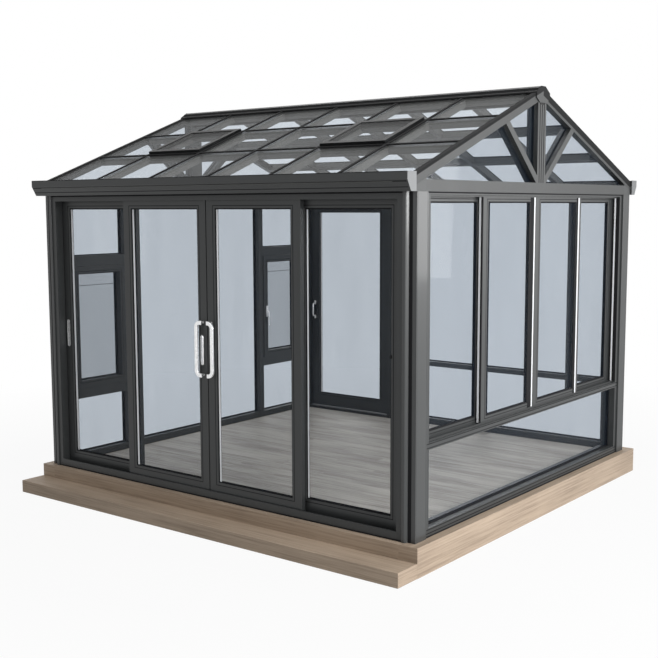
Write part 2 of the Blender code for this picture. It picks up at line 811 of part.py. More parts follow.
def barrel_feet():
    """Heights where the three hinges start: near both ends of the door and halfway."""
    lowest = DOOR_LOW + BARREL_END_INSET
    highest = DOOR_HIGH - BARREL_END_INSET - BARREL_LENGTH
    return (lowest, (lowest + highest) / 2, highest)


def add_hinges(target, name, way, offset):
    """Half of each hinge: a barrel on the hinge line and the plate beside it.

    way is 1 for the frame's side and -1 for the door's, whose half sits offset above.
    """
    for index, foot in enumerate(barrel_feet()):
        low = foot + offset
        high = low + BARREL_LENGTH / 2 - FIT
        barrel = cylinder(
            f"{name}_barrel_{index + 1}",
            BARREL_RADIUS,
            (HINGE_X, HINGE_Y, low),
            (HINGE_X, HINGE_Y, high),
            sides=BARREL_SIDES,
        )
        join(target, barrel)
        inner_x = HINGE_X + way * BARREL_CLEARANCE
        outer_x = HINGE_X + way * HINGE_PLATE_WIDTH
        plate = box(
            f"{name}_hinge_plate_{index + 1}",
            (min(inner_x, outer_x), BACK_FACE - SINK, low),
            (max(inner_x, outer_x), BACK_FACE + HINGE_PLATE_THICKNESS, high),
        )
        join(target, plate)


def build_back_frame():
    start = BACK_FACE - SIDE_FRAME_DEPTH
    middle = BACK_FACE - GLAZING_LIP - PANE_THICKNESS / 2
    left = LEFT_X + POST_FACE + FIT
    right = -left
    head = POST_TOP - HEAD_RAIL
    low = FLOOR_Z + BASE_RAIL
    pane_left = BACK_DOOR_RIGHT + DOOR_POST
    pane_right = right - JAMB_WIDTH
    mullion = BACK_MULLION_OFFSET
    mid_low = FLOOR_Z + MID_RAIL_BOTTOM
    mid_high = mid_low + MID_RAIL_HEIGHT
    door = ((BACK_DOOR_LEFT, FLOOR_Z + DOOR_THRESHOLD), (BACK_DOOR_RIGHT, head))
    openings = [door]
    for bay in (
        (pane_left, mullion - MULLION_WIDTH / 2),
        (mullion + MULLION_WIDTH / 2, pane_right),
    ):
        openings.append(((bay[0], low), (bay[1], mid_low)))
        openings.append(((bay[0], mid_high), (bay[1], head)))
    clear = ((pane_left, low), (pane_right, head))
    outer = ((left, WALL_LOW), (right, POST_TOP))

    def sheet(by):
        return rectangle(*grown(clear, PANE_BITE + by))

    names = ("back_wall_frame", "back_wall_glass")
    frame = slotted(*names, outer, openings, sheet, "Y", start, BACK_FACE, middle)
    add_hinges(frame, "frame", 1, 0)


def build_back_door():
    """The hinged leaf with its pane and lever handle, hung on an empty on the hinge line."""
    near = BACK_FACE - DOOR_THICKNESS
    left = BACK_DOOR_LEFT + DOOR_GAP
    right = BACK_DOOR_RIGHT - DOOR_HINGE_GAP
    pane_middle = BACK_FACE - GLAZING_LIP - PANE_THICKNESS / 2
    leaf, pane = glazed_frame(
        "back_door_leaf",
        ((left, DOOR_LOW), (right, DOOR_HIGH)),
        (DOOR_STILE, DOOR_STILE, DOOR_BOTTOM_RAIL, DOOR_TOP_RAIL),
        wall_plane("Y", pane_middle),
        pane_middle - near,
        BACK_FACE - pane_middle,
    )
    add_hinges(leaf, "door", -1, BARREL_LENGTH / 2)
    lever_x = left + DOOR_STILE / 2
    bore = cylinder(
        "spindle_bore",
        SPINDLE_RADIUS + FIT,
        (lever_x, near - CUTTER_SPARE, FLOOR_Z + LEVER_HEIGHT),
        (lever_x, BACK_FACE + CUTTER_SPARE, FLOOR_Z + LEVER_HEIGHT),
        sides=SPINDLE_SIDES,
    )
    cut(leaf, bore)
    handle = build_lever(lever_x, (near + BACK_FACE) / 2)
    middle_z = (DOOR_LOW + DOOR_HIGH) / 2
    carrier("back_door_hinge_line", (HINGE_X, HINGE_Y, middle_z), (leaf, pane, handle))


def build_lever(lever_x, middle):
    """A spindle through the door with a long plate and a lever on each side."""
    lever_z = FLOOR_Z + LEVER_HEIGHT
    reach = DOOR_THICKNESS / 2 + FIT
    spindle_reach = reach + LEVER_PLATE_THICKNESS / 2
    handle = cylinder(
        "back_door_handle",
        SPINDLE_RADIUS,
        (lever_x, middle - spindle_reach, lever_z),
        (lever_x, middle + spindle_reach, lever_z),
        DARK_ANTHRACITE,
        sides=SPINDLE_SIDES,
    )
    for side_name, way in (("inside", -1), ("outside", 1)):
        face = middle + way * reach
        plate_back = face + way * LEVER_PLATE_THICKNESS
        half = LEVER_PLATE_WIDTH / 2
        high = lever_z + LEVER_PLATE_ABOVE
        plate = box(
            f"lever_plate_{side_name}",
            (lever_x - half, min(face, plate_back), high - LEVER_PLATE_HEIGHT),
            (lever_x + half, max(face, plate_back), high),
        )
        join(handle, plate)
        grip_y = face + way * LEVER_STANDOFF
        neck = cylinder(
            f"lever_neck_{side_name}",
            LEVER_RADIUS,
            (lever_x, face + way * LEVER_PLATE_THICKNESS / 2, lever_z),
            (lever_x, grip_y + way * LEVER_RADIUS / 2, lever_z),
            sides=BARREL_SIDES,
        )
        join(handle, neck)
        grip = cylinder(
            f"lever_grip_{side_name}",
            LEVER_GRIP_RADIUS,
            (lever_x - LEVER_RADIUS / 2, grip_y, lever_z),
            (lever_x + LEVER_LENGTH, grip_y, lever_z),
            sides=BARREL_SIDES,
        )
        join(handle, grip)
    return handle


# Roof: a frame of reference for each slope, u along the eave, v up the slope, w square to it
EAVE_TOP_Z = POST_TOP + ROOF_RISE_AT_WALL
CAP_TOP = 0.0
PANE_TOP = CAP_TOP - CAP_HEIGHT
PANE_LOW = PANE_TOP - ROOF_PANE
BODY_TOP = PANE_LOW
BODY_LOW = BODY_TOP - RAFTER_DEPTH
SLOPE_RUN = ROOM_DEPTH / 2 - RIDGE_HALF_WIDTH + BODY_LOW * sin(ROOF_PITCH) - FIT
SLOPE_LENGTH = SLOPE_RUN / cos(ROOF_PITCH)
ROOF_LEFT = LEFT_X + TIE_SETBACK
ROOF_RIGHT = RIGHT_X - TIE_SETBACK


def slope_frame(way):
    """Columns: along the eave, up the slope and out of it, with the origin on the eave line."""
    up = Vector((0, way * cos(ROOF_PITCH), sin(ROOF_PITCH)))
    along = Vector((way, 0, 0))
    out = along.cross(up)
    wall = FRONT_Y if way > 0 else BACK_Y
    matrix = Matrix((along, up, out)).transposed().to_4x4()
    return Matrix.Translation((0, wall, EAVE_TOP_Z)) @ matrix


def bay_lines():
    first = ROOF_LEFT + RAFTER_WIDTH / 2
    last = ROOF_RIGHT - RAFTER_WIDTH / 2
    return [first + (last - first) * k / RAFTER_BAYS for k in range(RAFTER_BAYS + 1)]


def row_lines():
    """Lines of the cross bars: equal rows, apart from a longer one at the eave."""
    first = EAVE_RAIL / 2
    last = SLOPE_LENGTH - EAVE_RAIL / 2
    row = (last - first - EAVE_ROW_EXTRA) / ROOF_ROWS
    return [first] + [last - row * k for k in reversed(range(ROOF_ROWS))]


def lattice_cells(bar):
    """The clear rectangle of every cell between bars of this width, by bay and row."""
    columns, rows = bay_lines(), row_lines()
    half = bar / 2
    cells = {}
    for bay in range(RAFTER_BAYS):
        for row in range(ROOF_ROWS):
            low = (columns[bay] + half, rows[row] + half)
            high = (columns[bay + 1] - half, rows[row + 1] - half)
            cells[bay, row] = (low, high)
    return cells


def build_slope(name, way, vents):
    """Rafters and bars as one lattice with caps over the glass sheet and feet cut plumb."""
    frame = slope_frame(way)
    outer = ((ROOF_LEFT, BODY_LOW * tan(ROOF_PITCH)), (ROOF_RIGHT, SLOPE_LENGTH))
    cells = [rectangle(*cell) for cell in lattice_cells(RAFTER_WIDTH).values()]
    lattice = extruded(
        f"{name}_rafters", [rectangle(*outer), *cells], frame, BODY_LOW, CAP_TOP, ANTHRACITE
    )
    inside = (
        (ROOF_LEFT + RAFTER_WIDTH / 2, EAVE_RAIL / 2),
        (ROOF_RIGHT - RAFTER_WIDTH / 2, SLOPE_LENGTH - EAVE_RAIL / 2),
    )
    slot = extruded(f"{name}_slot", [rectangle(*inside)], frame, PANE_LOW, PANE_TOP + FIT)
    cut(lattice, slot)
    cap_cells = lattice_cells(CAP_WIDTH)
    shoulders = extruded(
        f"{name}_shoulders",
        [rectangle(*cell) for cell in cap_cells.values()],
        frame,
        (PANE_LOW + PANE_TOP) / 2,
        CAP_TOP + CAP_HEIGHT,
    )
    cut(lattice, shoulders)
    wall_y = FRONT_Y if way > 0 else BACK_Y
    kept, past = wall_y + way * FIT, wall_y - way * RAFTER_DEPTH
    plumb = box(
        f"{name}_plumb_cut",
        (ROOF_LEFT - CUTTER_SPARE, min(kept, past), EAVE_TOP_Z - 2 * RAFTER_DEPTH),
        (ROOF_RIGHT + CUTTER_SPARE, max(kept, past), EAVE_TOP_Z + RAFTER_DEPTH),
    )
    cut(lattice, plumb)
    sheet = grown(inside, -FIT)
    gaps = [cap_cells[bay, VENT_ROW] for bay in vents]
    extruded(
        f"{name}_glass",
        [rectangle(*sheet), *[rectangle(*gap) for gap in gaps]],
        frame,
        PANE_LOW + FIT,
        PANE_TOP,
        CLEAR_GLASS,
    )
    for number, gap in enumerate(gaps):
        build_vent(f"roof_vent_{number + 1}", gap, frame)


def build_vent(name, gap, frame):
    """A raised vent frame standing on the rafters around its cell, with its own pane."""
    top = CAP_TOP + VENT_UPSTAND
    middle = top - VENT_LIP - PANE_THICKNESS / 2
    glazed_frame(
        name + "_frame",
        grown(gap, -2 * FIT),
        (VENT_FRAME_WIDTH,) * 4,
        frame @ Matrix.Translation((0, 0, middle)),
        top - middle,
        middle - BODY_TOP - FIT,
        DARK_ANTHRACITE,
    )


def peak_height():
    return EAVE_TOP_Z + ROOM_DEPTH / 2 * tan(ROOF_PITCH)


def on_slope(offset, above=0.0):
    """Height over the roof's surface at this distance from the ridge line."""
    return peak_height() - abs(offset) * tan(ROOF_PITCH) + above


def build_ridge():
    """Ridge beam with flashings that lie on both slopes and a raised cap between them."""
    half = RIDGE_HALF_WIDTH - FIT
    wing = RIDGE_FLASHING_HALF_WIDTH
    cap = RIDGE_CAP_HALF_WIDTH
    lift = 2 * FIT
    skin = lift + RIDGE_FLASHING_THICKNESS
    side = [
        (half, peak_height() - RIDGE_BEAM_DEPTH),
        (half, on_slope(half, lift)),
        (wing, on_slope(wing, lift)),
        (wing, on_slope(wing, skin)),
        (cap, on_slope(cap, skin)),
        (cap, on_slope(cap, skin + RIDGE_CAP_SIDE)),
        (RIDGE_CAP_TOP_HALF_WIDTH, peak_height() + RIDGE_CAP_RISE),
    ]
    profile = side + [(-u, v) for u, v in reversed(side)]
    outline = [(RIDGE_Y + u, v) for u, v in profile]
    extruded("ridge_beam", [outline], "X", ROOF_LEFT, ROOF_RIGHT, DARK_ANTHRACITE)


def gutter_profile():
    """Open trough: (distance in front of the wall face, height above the post top)."""
    wall = GUTTER_WALL
    front = GUTTER_OVERHANG
    taper = GUTTER_TAPER
    shoulder = GUTTER_HEIGHT - GUTTER_UPRIGHT
    return [
        (0, FIT),
        (front - taper, FIT),
        (front, shoulder),
        (front, GUTTER_HEIGHT),
        (front - GUTTER_RETURN, GUTTER_HEIGHT),
        (front - GUTTER_RETURN, GUTTER_HEIGHT - wall),
        (front - wall, GUTTER_HEIGHT - wall),
        (front - wall, shoulder + wall / 2),
        (front - taper - wall / 2, FIT + wall),
        (wall, FIT + wall),
        (wall, GUTTER_BACK_HEIGHT),
        (0, GUTTER_BACK_HEIGHT),
    ]


def build_gutters():
    left, right = LEFT_X - GUTTER_END_OVERHANG, RIGHT_X + GUTTER_END_OVERHANG
    inset = GUTTER_WALL
    for name, wall_y, way in (("front_gutter", FRONT_Y, -1), ("back_gutter", BACK_Y, 1)):
        outline = [(wall_y + way * u, POST_TOP + v) for u, v in gutter_profile()]
        gutter = extruded(name, [outline], "X", left, right, ANTHRACITE)
        silhouette = gutter_profile()[:4] + [(0, GUTTER_HEIGHT)]
        plate = [(wall_y + way * u, POST_TOP + v) for u, v in silhouette]
        for end_name, start, end in (
            ("left", left, left + inset),
            ("right", right - inset, right),
        ):
            join(gutter, extruded(f"{name}_end_{end_name}", [plate], "X", start, end))


def build_eave_beams():
    """Wall plates on the posts that carry the rafters' feet, cut to the roof's pitch."""
    rise = tan(ROOF_PITCH)
    under = ROOF_RISE_AT_WALL + BODY_LOW / cos(ROOF_PITCH) - 2 * FIT
    depth = WALL_SETBACK + WALL_DEPTH
    for name, wall_y, way in (("front_eave_beam", FRONT_Y, 1), ("back_eave_beam", BACK_Y, -1)):
        profile = [(FIT, FIT), (depth, FIT), (depth, under + depth * rise), (FIT, under)]
        outline = [(wall_y + way * u, POST_TOP + v) for u, v in profile]
        extruded(name, [outline], "X", ROOF_LEFT, ROOF_RIGHT, ANTHRACITE)


def build_gable(side_name, way):
    """Tie beam, king post and two struts as one welded truss, with its pane in a slot."""
    rise = tan(ROOF_PITCH)
    under = EAVE_TOP_Z + BODY_LOW / cos(ROOF_PITCH) - 2 * FIT
    outer_x = way * (RIGHT_X - TIE_SETBACK)
    inner_x = outer_x - way * TIE_THICKNESS
    start, end = min(outer_x, inner_x), max(outer_x, inner_x)
    depth = WALL_SETBACK + WALL_DEPTH + 2 * FIT

    def under_roof(y):
        return under + (ROOM_DEPTH / 2 - abs(y - RIDGE_Y)) * rise

    tie_low = POST_TOP + FIT
    tie_top = tie_low + TIE_HEIGHT
    near, far = FRONT_Y + depth, BACK_Y - depth
    corner = min(under_roof(near), tie_top)
    tie = [(near, tie_low), (far, tie_low), (far, corner), (near, corner)]
    if corner < tie_top:
        run = (tie_top - corner) / rise
        tie = tie[:3] + [(far - run, tie_top), (near + run, tie_top), (near, corner)]
    truss = extruded(f"gable_truss_{side_name}", [tie], "X", start, end, ANTHRACITE)
    half = KING_WIDTH / 2
    beam = RIDGE_HALF_WIDTH + FIT
    beam_low = EAVE_TOP_Z + ROOM_DEPTH / 2 * rise - RIDGE_BEAM_DEPTH - FIT
    king = [
        (RIDGE_Y - half, tie_top - KING_ROOT),
        (RIDGE_Y + half, tie_top - KING_ROOT),
        (RIDGE_Y + half, under_roof(RIDGE_Y + half)),
        (RIDGE_Y + beam, under_roof(RIDGE_Y + beam)),
        (RIDGE_Y + beam, beam_low),
        (RIDGE_Y - beam, beam_low),
        (RIDGE_Y - beam, under_roof(RIDGE_Y - beam)),
        (RIDGE_Y - half, under_roof(RIDGE_Y - half)),
    ]
    join(truss, extruded(f"king_post_{side_name}", [king], "X", start, end))
    for end_name, hand in (("front", -1), ("back", 1)):
        foot_y = RIDGE_Y + hand * (half - STRUT_WIDTH / 2)
        head_y = RIDGE_Y + hand * STRUT_REACH
        foot = Vector((foot_y, tie_top - SINK / 2))
        head = Vector((head_y, under_roof(head_y)))
        along = (head - foot).normalized()
        across = Vector((-along.y, along.x)) * STRUT_WIDTH / 2
        sides = []
        for edge in (across, -across):
            start_point = foot + edge
            slope = -hand * rise
            base = under_roof(head_y) - slope * head_y
            reach = (base + slope * start_point.x - start_point.y) / (along.y - slope * along.x)
            sides.append((start_point, start_point + along * reach))
        strut = [sides[0][0], sides[0][1], sides[1][1], sides[1][0]]
        join(
            truss,
            extruded(f"strut_{end_name}_{side_name}", [[tuple(p) for p in strut]], "X", start, end),
        )
    middle = (start + end) / 2
    half_pane = PANE_THICKNESS / 2
    seat = tie_top - PANE_BITE
    edge_run = (seat - under_roof(FRONT_Y)) / rise
    near_edge = max(near, FRONT_Y + edge_run)
    beam_under = RIDGE_HALF_WIDTH + 2 * FIT

    def pane(grow):
        low = seat - grow
        reach_y = near_edge + GABLE_PANE_MARGIN - grow
        points = [
            (reach_y, low),
            (2 * RIDGE_Y - reach_y, low),
            (2 * RIDGE_Y - reach_y, under_roof(reach_y) + grow - FIT),
            (RIDGE_Y + beam_under - grow, under_roof(RIDGE_Y + beam_under) + grow - FIT),
            (RIDGE_Y + beam_under - grow, beam_low - FIT + grow),
            (RIDGE_Y - beam_under + grow, beam_low - FIT + grow),
            (RIDGE_Y - beam_under + grow, under_roof(RIDGE_Y + beam_under) + grow - FIT),
            (reach_y, under_roof(reach_y) + grow - FIT),
        ]
        return points

    slot = extruded(
        f"gable_slot_{side_name}",
        [pane(2 * FIT)],
        "X",
        middle - half_pane - FIT,
        middle + half_pane + FIT,
    )
    cut(truss, slot)
    grooves = []
    pitch = KING_WIDTH / (KING_GROOVES + 1)
    for number in range(KING_GROOVES):
        groove_y = RIDGE_Y - half + (number + 1) * pitch
        near_y, far_y = groove_y - KING_GROOVE_WIDTH / 2, groove_y + KING_GROOVE_WIDTH / 2
        floor_x = outer_x - way * KING_GROOVE_DEPTH
        past_x = outer_x + way * KING_GROOVE_DEPTH
        grooves.append(
            (
                (min(floor_x, past_x), near_y, tie_top),
                (max(floor_x, past_x), far_y, peak_height()),
            )
        )
    cut(truss, boxes(f"king_grooves_{side_name}", grooves))
    add_ridge_plate(truss, side_name, way, outer_x, under_roof(RIDGE_Y + half))
    extruded(
        f"gable_glass_{side_name}",
        [pane(0)],
        "X",
        middle - half_pane,
        middle + half_pane,
        CLEAR_GLASS,
    )


def add_ridge_plate(truss, side_name, way, outer_x, king_top):
    """The end plate that covers the meeting of the verges, seated on the king post's two cheeks."""
    skin_x = outer_x + way * FIT
    face_x = skin_x + way * RIDGE_PLATE_THICKNESS
    shoulder = on_slope(RIDGE_PLATE_HALF_WIDTH, RIDGE_FLASHING_THICKNESS)
    side = [
        (RIDGE_PLATE_FOOT, peak_height() - RIDGE_PLATE_DROP),
        (RIDGE_PLATE_HALF_WIDTH, shoulder - RIDGE_PLATE_SIDE),
        (RIDGE_PLATE_HALF_WIDTH, shoulder),
        (RIDGE_PLATE_CROWN, peak_height() + RIDGE_CAP_RISE),
    ]
    outline = [(RIDGE_Y + u, v) for u, v in side + [(-u, v) for u, v in reversed(side)]]
    start, end = min(skin_x, face_x), max(skin_x, face_x)
    plate = extruded(f"ridge_plate_{side_name}", [outline], "X", start, end)
    low = peak_height() - RIDGE_PLATE_DROP + SINK
    root_x, seat_x = outer_x - way * KING_ROOT, outer_x + way * RIDGE_PLATE_THICKNESS / 2
    near_x, far_x = min(root_x, seat_x), max(root_x, seat_x)
    cheek = (RIDGE_HALF_WIDTH + 2 * FIT, RIDGE_PLATE_FOOT - SINK)
    for end_name, near, far in (("front", -cheek[1], -cheek[0]), ("back", *cheek)):
        seat = box(
            f"ridge_plate_seat_{end_name}_{side_name}",
            (near_x, RIDGE_Y + near, low),
            (far_x, RIDGE_Y + far, king_top - SINK),
        )
        join(truss, seat)
    join(truss, plate)


build_plinth()
build_posts()
build_front()
build_left_wall()
build_right_wall()
build_back_frame()
build_back_door()
build_slope("front_roof", 1, VENT_BAYS)
build_slope("back_roof", -1, ())
build_ridge()
build_gutters()
build_eave_beams()
build_gable("left", -1)
build_gable("right", 1)
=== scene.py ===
# Glass conservatory: finishes, boards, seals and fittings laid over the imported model.
import json
from math import atan, cos, pi, radians, sin

import bmesh
import bpy
import numpy as np
from mathutils import Matrix, Vector


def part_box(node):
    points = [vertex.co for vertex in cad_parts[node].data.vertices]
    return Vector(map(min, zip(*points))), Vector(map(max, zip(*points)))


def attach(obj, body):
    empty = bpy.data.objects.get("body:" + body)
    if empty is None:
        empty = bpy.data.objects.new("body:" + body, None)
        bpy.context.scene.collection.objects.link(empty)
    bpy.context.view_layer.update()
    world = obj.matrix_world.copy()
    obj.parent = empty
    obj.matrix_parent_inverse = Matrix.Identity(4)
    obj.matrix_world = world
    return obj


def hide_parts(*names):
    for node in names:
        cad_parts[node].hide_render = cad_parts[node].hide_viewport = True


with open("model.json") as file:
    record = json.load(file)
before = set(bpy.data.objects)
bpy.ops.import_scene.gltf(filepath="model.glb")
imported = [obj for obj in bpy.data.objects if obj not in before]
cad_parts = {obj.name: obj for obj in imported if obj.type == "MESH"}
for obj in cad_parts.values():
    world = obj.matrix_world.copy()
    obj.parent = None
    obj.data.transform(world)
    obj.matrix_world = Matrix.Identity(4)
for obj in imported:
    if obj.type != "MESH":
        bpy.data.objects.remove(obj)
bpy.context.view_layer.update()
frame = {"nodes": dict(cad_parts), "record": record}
nodes = frame["nodes"]
print("frame loaded:", len(nodes), "nodes")


# Shader arithmetic

class Wire:
    # an output of a node tree; an operator on it adds the Math node that the operator stands for
    def __init__(self, graph, socket):
        self.graph = graph
        self.socket = socket

    def __add__(self, other):
        return self.graph.maths("ADD", self, other)

    def __radd__(self, other):
        return self.graph.maths("ADD", other, self)

    def __sub__(self, other):
        return self.graph.maths("SUBTRACT", self, other)

    def __rsub__(self, other):
        return self.graph.maths("SUBTRACT", other, self)

    def __mul__(self, other):
        return self.graph.maths("MULTIPLY", self, other)

    def __rmul__(self, other):
        return self.graph.maths("MULTIPLY", other, self)

    def __truediv__(self, other):
        return self.graph.maths("DIVIDE", self, other)

    def __rtruediv__(self, other):
        return self.graph.maths("DIVIDE", other, self)

    def __gt__(self, other):
        return self.graph.maths("GREATER_THAN", self, other)

    def __abs__(self):
        return self.graph.maths("ABSOLUTE", self)

    def beside(self, label):
        # another output of the same node
        return Wire(self.graph, self.socket.node.outputs[label])


class Graph:
    # a node tree and the one method that adds any node to it
    def __init__(self, tree):
        self.tree = tree

    def plug(self, socket, value):
        if isinstance(value, Wire):
            self.tree.links.new(value.socket, socket)
        elif socket.type == "RGBA" and len(value) == 3:
            socket.default_value = (*value, 1.0)
        else:
            socket.default_value = value

    def node(self, kind, settings, sockets, out=0):
        made = self.tree.nodes.new(kind)
        for label, value in settings.items():
            if label != "stops":
                setattr(made, label, value)
                continue
            for stop, (place, shade) in enumerate(value):  # from the lowest place to the highest
                if stop > 1:
                    made.color_ramp.elements.new(1.0)
                made.color_ramp.elements[stop].position = place
                made.color_ramp.elements[stop].color = (*shade, 1.0)
        for label, value in sockets.items():
            self.plug(made.inputs[label], value)
        return Wire(self, made.outputs[out])

    def maths(self, operation, *values):
        return self.node("ShaderNodeMath", {"operation": operation}, dict(enumerate(values)))

    def clamped(self, value):
        return self.maths("MINIMUM", self.maths("MAXIMUM", value, 0.0), 1.0)

    def mixColours(self, factor, first, second):
        values = {"Factor": factor, 6: first, 7: second}
        return self.node("ShaderNodeMix", {"data_type": "RGBA"}, values, 2)

    def lightPath(self):
        # whether the camera, a reflection or a clear body shows the surface, and how many clear
        # faces the ray has passed
        camera = self.node("ShaderNodeLightPath", {}, {}, "Is Camera Ray")
        shown = self.maths("MAXIMUM", camera.beside("Is Glossy Ray"), camera.beside("Is Transmission Ray"))
        return self.maths("MAXIMUM", camera, shown), camera.beside("Transparent Depth")


class Finish(Graph):
    # a material and its Principled shader; keyword values are uniform and stand on its sockets
    def __init__(self, name, **uniform):
        self.material = bpy.data.materials.new(name)
        self.material.use_nodes = True
        super().__init__(self.material.node_tree)
        self.shader = self.tree.nodes["Principled BSDF"]
        for label, value in uniform.items():
            self.wear(label.replace("_", " "), value)

    def wear(self, label, value):
        self.plug(self.shader.inputs[label], value)

    def objectPlace(self):
        return self.node("ShaderNodeTexCoord", {}, {}, "Object")

    def noise(self, place, scale, detail=4.0, roughness=0.5, stretch=None):
        if stretch:
            place = self.node("ShaderNodeMapping", {}, {"Vector": place, "Scale": stretch})
        values = {"Vector": place, "Scale": scale, "Detail": detail, "Roughness": roughness}
        return self.node("ShaderNodeTexNoise", {}, values, "Fac")

    def ramp(self, factor, *stops):
        return self.node("ShaderNodeValToRGB", {"stops": stops}, {"Fac": factor})

    def bump(self, height, strength, distance):
        values = {"Height": height, "Strength": strength, "Distance": distance}
        return self.node("ShaderNodeBump", {}, values, "Normal")


def toned(colour, times):
    return tuple(value * times for value in colour)


# Finishes

coatLook = {
    "frame": (0.0345, 0.0368, 0.0374),
    "truss": (0.033, 0.035, 0.0355),
    "rafter": (0.088, 0.089, 0.085),
    "verge": (0.032, 0.034, 0.0345),
    "gutterEndLit": (0.165, 0.171, 0.175),
    "dark": (0.0055, 0.0058, 0.0062),
    "dust": (0.045, 0.045, 0.043),
    "dustFrom": 0.56,
    "dustGain": 0.5,
    "cloud": {"scale": 2.3, "detail": 3.0},
    "cloudPaler": 1.25,
    "peel": {"scale": 1400.0, "detail": 2.0},
    "peelBump": (0.06, 0.0004),
    "smear": {"scale": 9.0, "detail": 5.0, "roughness": 0.62, "stretch": (1.0, 1.0, 0.12)},
    "roughness": 0.34,
    "smearRoughness": 0.10,
    "capDepth": 0.0125,
    "capRoughness": 0.50,
    "vergeShadeDepth": (0.020, 0.050),
}
roofPlace = {"ridgeY": 0.0795, "peak": 3.21502, "pitch": atan(0.383), "gutterEndX": 1.8345,
             "verge": 1.72}


def powderCoat(name, colour, part="", look=coatLook, **uniform):
    # satin powder coat: cloudy tone, fine orange peel, a little dust where the noise is high
    coat = Finish(name, Metallic=0.0, IOR=1.5, **uniform)
    place = coat.objectPlace()
    cloud, peel, smear = (coat.noise(place, **look[layer]) for layer in ("cloud", "peel", "smear"))
    tone = coat.mixColours(cloud, colour, toned(colour, look["cloudPaler"]))
    rough = look["roughness"] + smear * look["smearRoughness"]
    if part == "rafters":
        # the verges are as dark as the walls, and the caps over the glass are darker; on the verges a band of
        # painted shade reaches below the cap, wider on the back slope: w is the height above the roof's
        # surface
        pitch = roofPlace["pitch"]
        x = coat.node("ShaderNodeSeparateXYZ", {}, {"Vector": place}, "X")
        y, z = x.beside("Y"), x.beside("Z")
        verge = abs(x) > roofPlace["verge"]
        tone = coat.mixColours(verge, tone, look["verge"])
        w = (z - roofPlace["peak"]) * cos(pitch) + abs(y - roofPlace["ridgeY"]) * sin(pitch)
        front, back = look["vergeShadeDepth"]
        wide = (y > roofPlace["ridgeY"]) * (back - front) + (front - look["capDepth"])
        # painted shade: this mask marks the caps and also the band of painted shade on the verges
        cap = (w + verge * wide + look["capDepth"]) > 0.0
        tone = coat.mixColours(cap, tone, look["dark"])
        rough = rough + cap * look["capRoughness"]
    if part == "gutter":
        # painted light: the end cap on the right, on the lit side, is painted paler
        x = coat.node("ShaderNodeSeparateXYZ", {}, {"Vector": place}, "X")
        tone = coat.mixColours(x > roofPlace["gutterEndX"], tone, look["gutterEndLit"])
    dust = coat.maths("MAXIMUM", (smear - look["dustFrom"]) * look["dustGain"], 0.0)
    coat.wear("Base Color", coat.mixColours(dust, tone, look["dust"]))
    coat.wear("Roughness", rough)
    coat.wear("Normal", coat.bump(peel, *look["peelBump"]))
    return coat.material


glassLook = {
    "wall": {"colour": (0.022, 0.035, 0.055), "alpha": 0.150},
    "casement": {"colour": (0.02, 0.03, 0.042), "alpha": 0.33},
    "gable": {"colour": (0.02, 0.032, 0.05), "alpha": 0.17},
    "roof": {"colour": (0.42, 0.425, 0.42), "alpha": 0.13},
}
rainLook = {"marks": {"scale": 5.0, "detail": 6.0, "roughness": 0.6, "stretch": (1.0, 1.0, 0.25)},
            "share": 0.05}


def paneGlass(name, colour, alpha, look=rainLook):
    # tinted pane: its tint is thicker in faint rain marks, and the light passes through the rest
    pane = Finish(name, Roughness=0.03, IOR=1.52, Specular_IOR_Level=0.25, Base_Color=colour)
    marks = pane.noise(pane.objectPlace(), **look["marks"])
    pane.wear("Alpha", alpha + (marks - 0.5) * look["share"])
    return pane.material


woodLook = {
    "plinth": {"pale": (0.485, 0.383, 0.289), "mid": (0.405, 0.314, 0.234), "dark": (0.268, 0.203, 0.148),
               "spread": 0.12},
    "deck": {"pale": (0.725, 0.69, 0.635), "mid": (0.60, 0.565, 0.515), "dark": (0.39, 0.36, 0.325),
             "spread": 0.06},
}
grainLook = {
    "streak": {"scale": 2.6, "detail": 7.0, "roughness": 0.62, "stretch": (0.5, 27.0, 1.0)},
    "fine": {"scale": 2.0, "detail": 4.0, "roughness": 0.55, "stretch": (3.2, 250.0, 1.0)},
    "slow": {"scale": 1.6, "detail": 2.0, "stretch": (0.7, 2.4, 1.0)},
    "shares": (0.56, 0.28, 0.28),
    "offset": 0.06,
    "roughness": 0.55,
    "fineRoughness": 0.25,
    "bumpShares": (0.6, 0.4),
    "bump": (0.22, 0.0012),
}


def timber(name, pale, mid, dark, spread, look=grainLook):
    # UV runs along the board (x, metres) and across it (y): long streaks, pores and a slow change
    # of tone, added in their shares
    wood = Finish(name, IOR=1.45)
    place = wood.node("ShaderNodeUVMap", {"uv_map": "boards"}, {}, "UV")
    streak, fine, slow = (wood.noise(place, **look[layer]) for layer in ("streak", "fine", "slow"))
    streakShare, fineShare, slowShare = look["shares"]
    grain = streak * streakShare + fine * fineShare + slow * slowShare - look["offset"]
    wood.wear("Base Color", wood.ramp(grain, (0.5 - spread, dark), (0.5, mid), (0.5 + spread, pale)))
    wood.wear("Roughness", look["roughness"] + (0.5 - fine) * look["fineRoughness"])
    height = streak * look["bumpShares"][0] + fine * look["bumpShares"][1]
    wood.wear("Normal", wood.bump(height, *look["bump"]))
    return wood.material


metalLook = {
    "handle": {"colour": (0.955, 0.96, 0.965), "metallic": 0.7, "roughness": 0.27},
    # the spacer finish is also laid as painted highlight on pane edges and where the sashes meet
    "spacer": {"colour": (0.90, 0.91, 0.93), "metallic": 0.0, "roughness": 0.35},
}
brushLook = {
    "lines": {"scale": 1.0, "detail": 3.0, "stretch": (600.0, 600.0, 18.0)},
    "cloud": {"scale": 14.0, "detail": 3.0},
    "darker": 0.93,
    "lineRoughness": 0.12,
    "bump": (0.04, 0.0002),
}


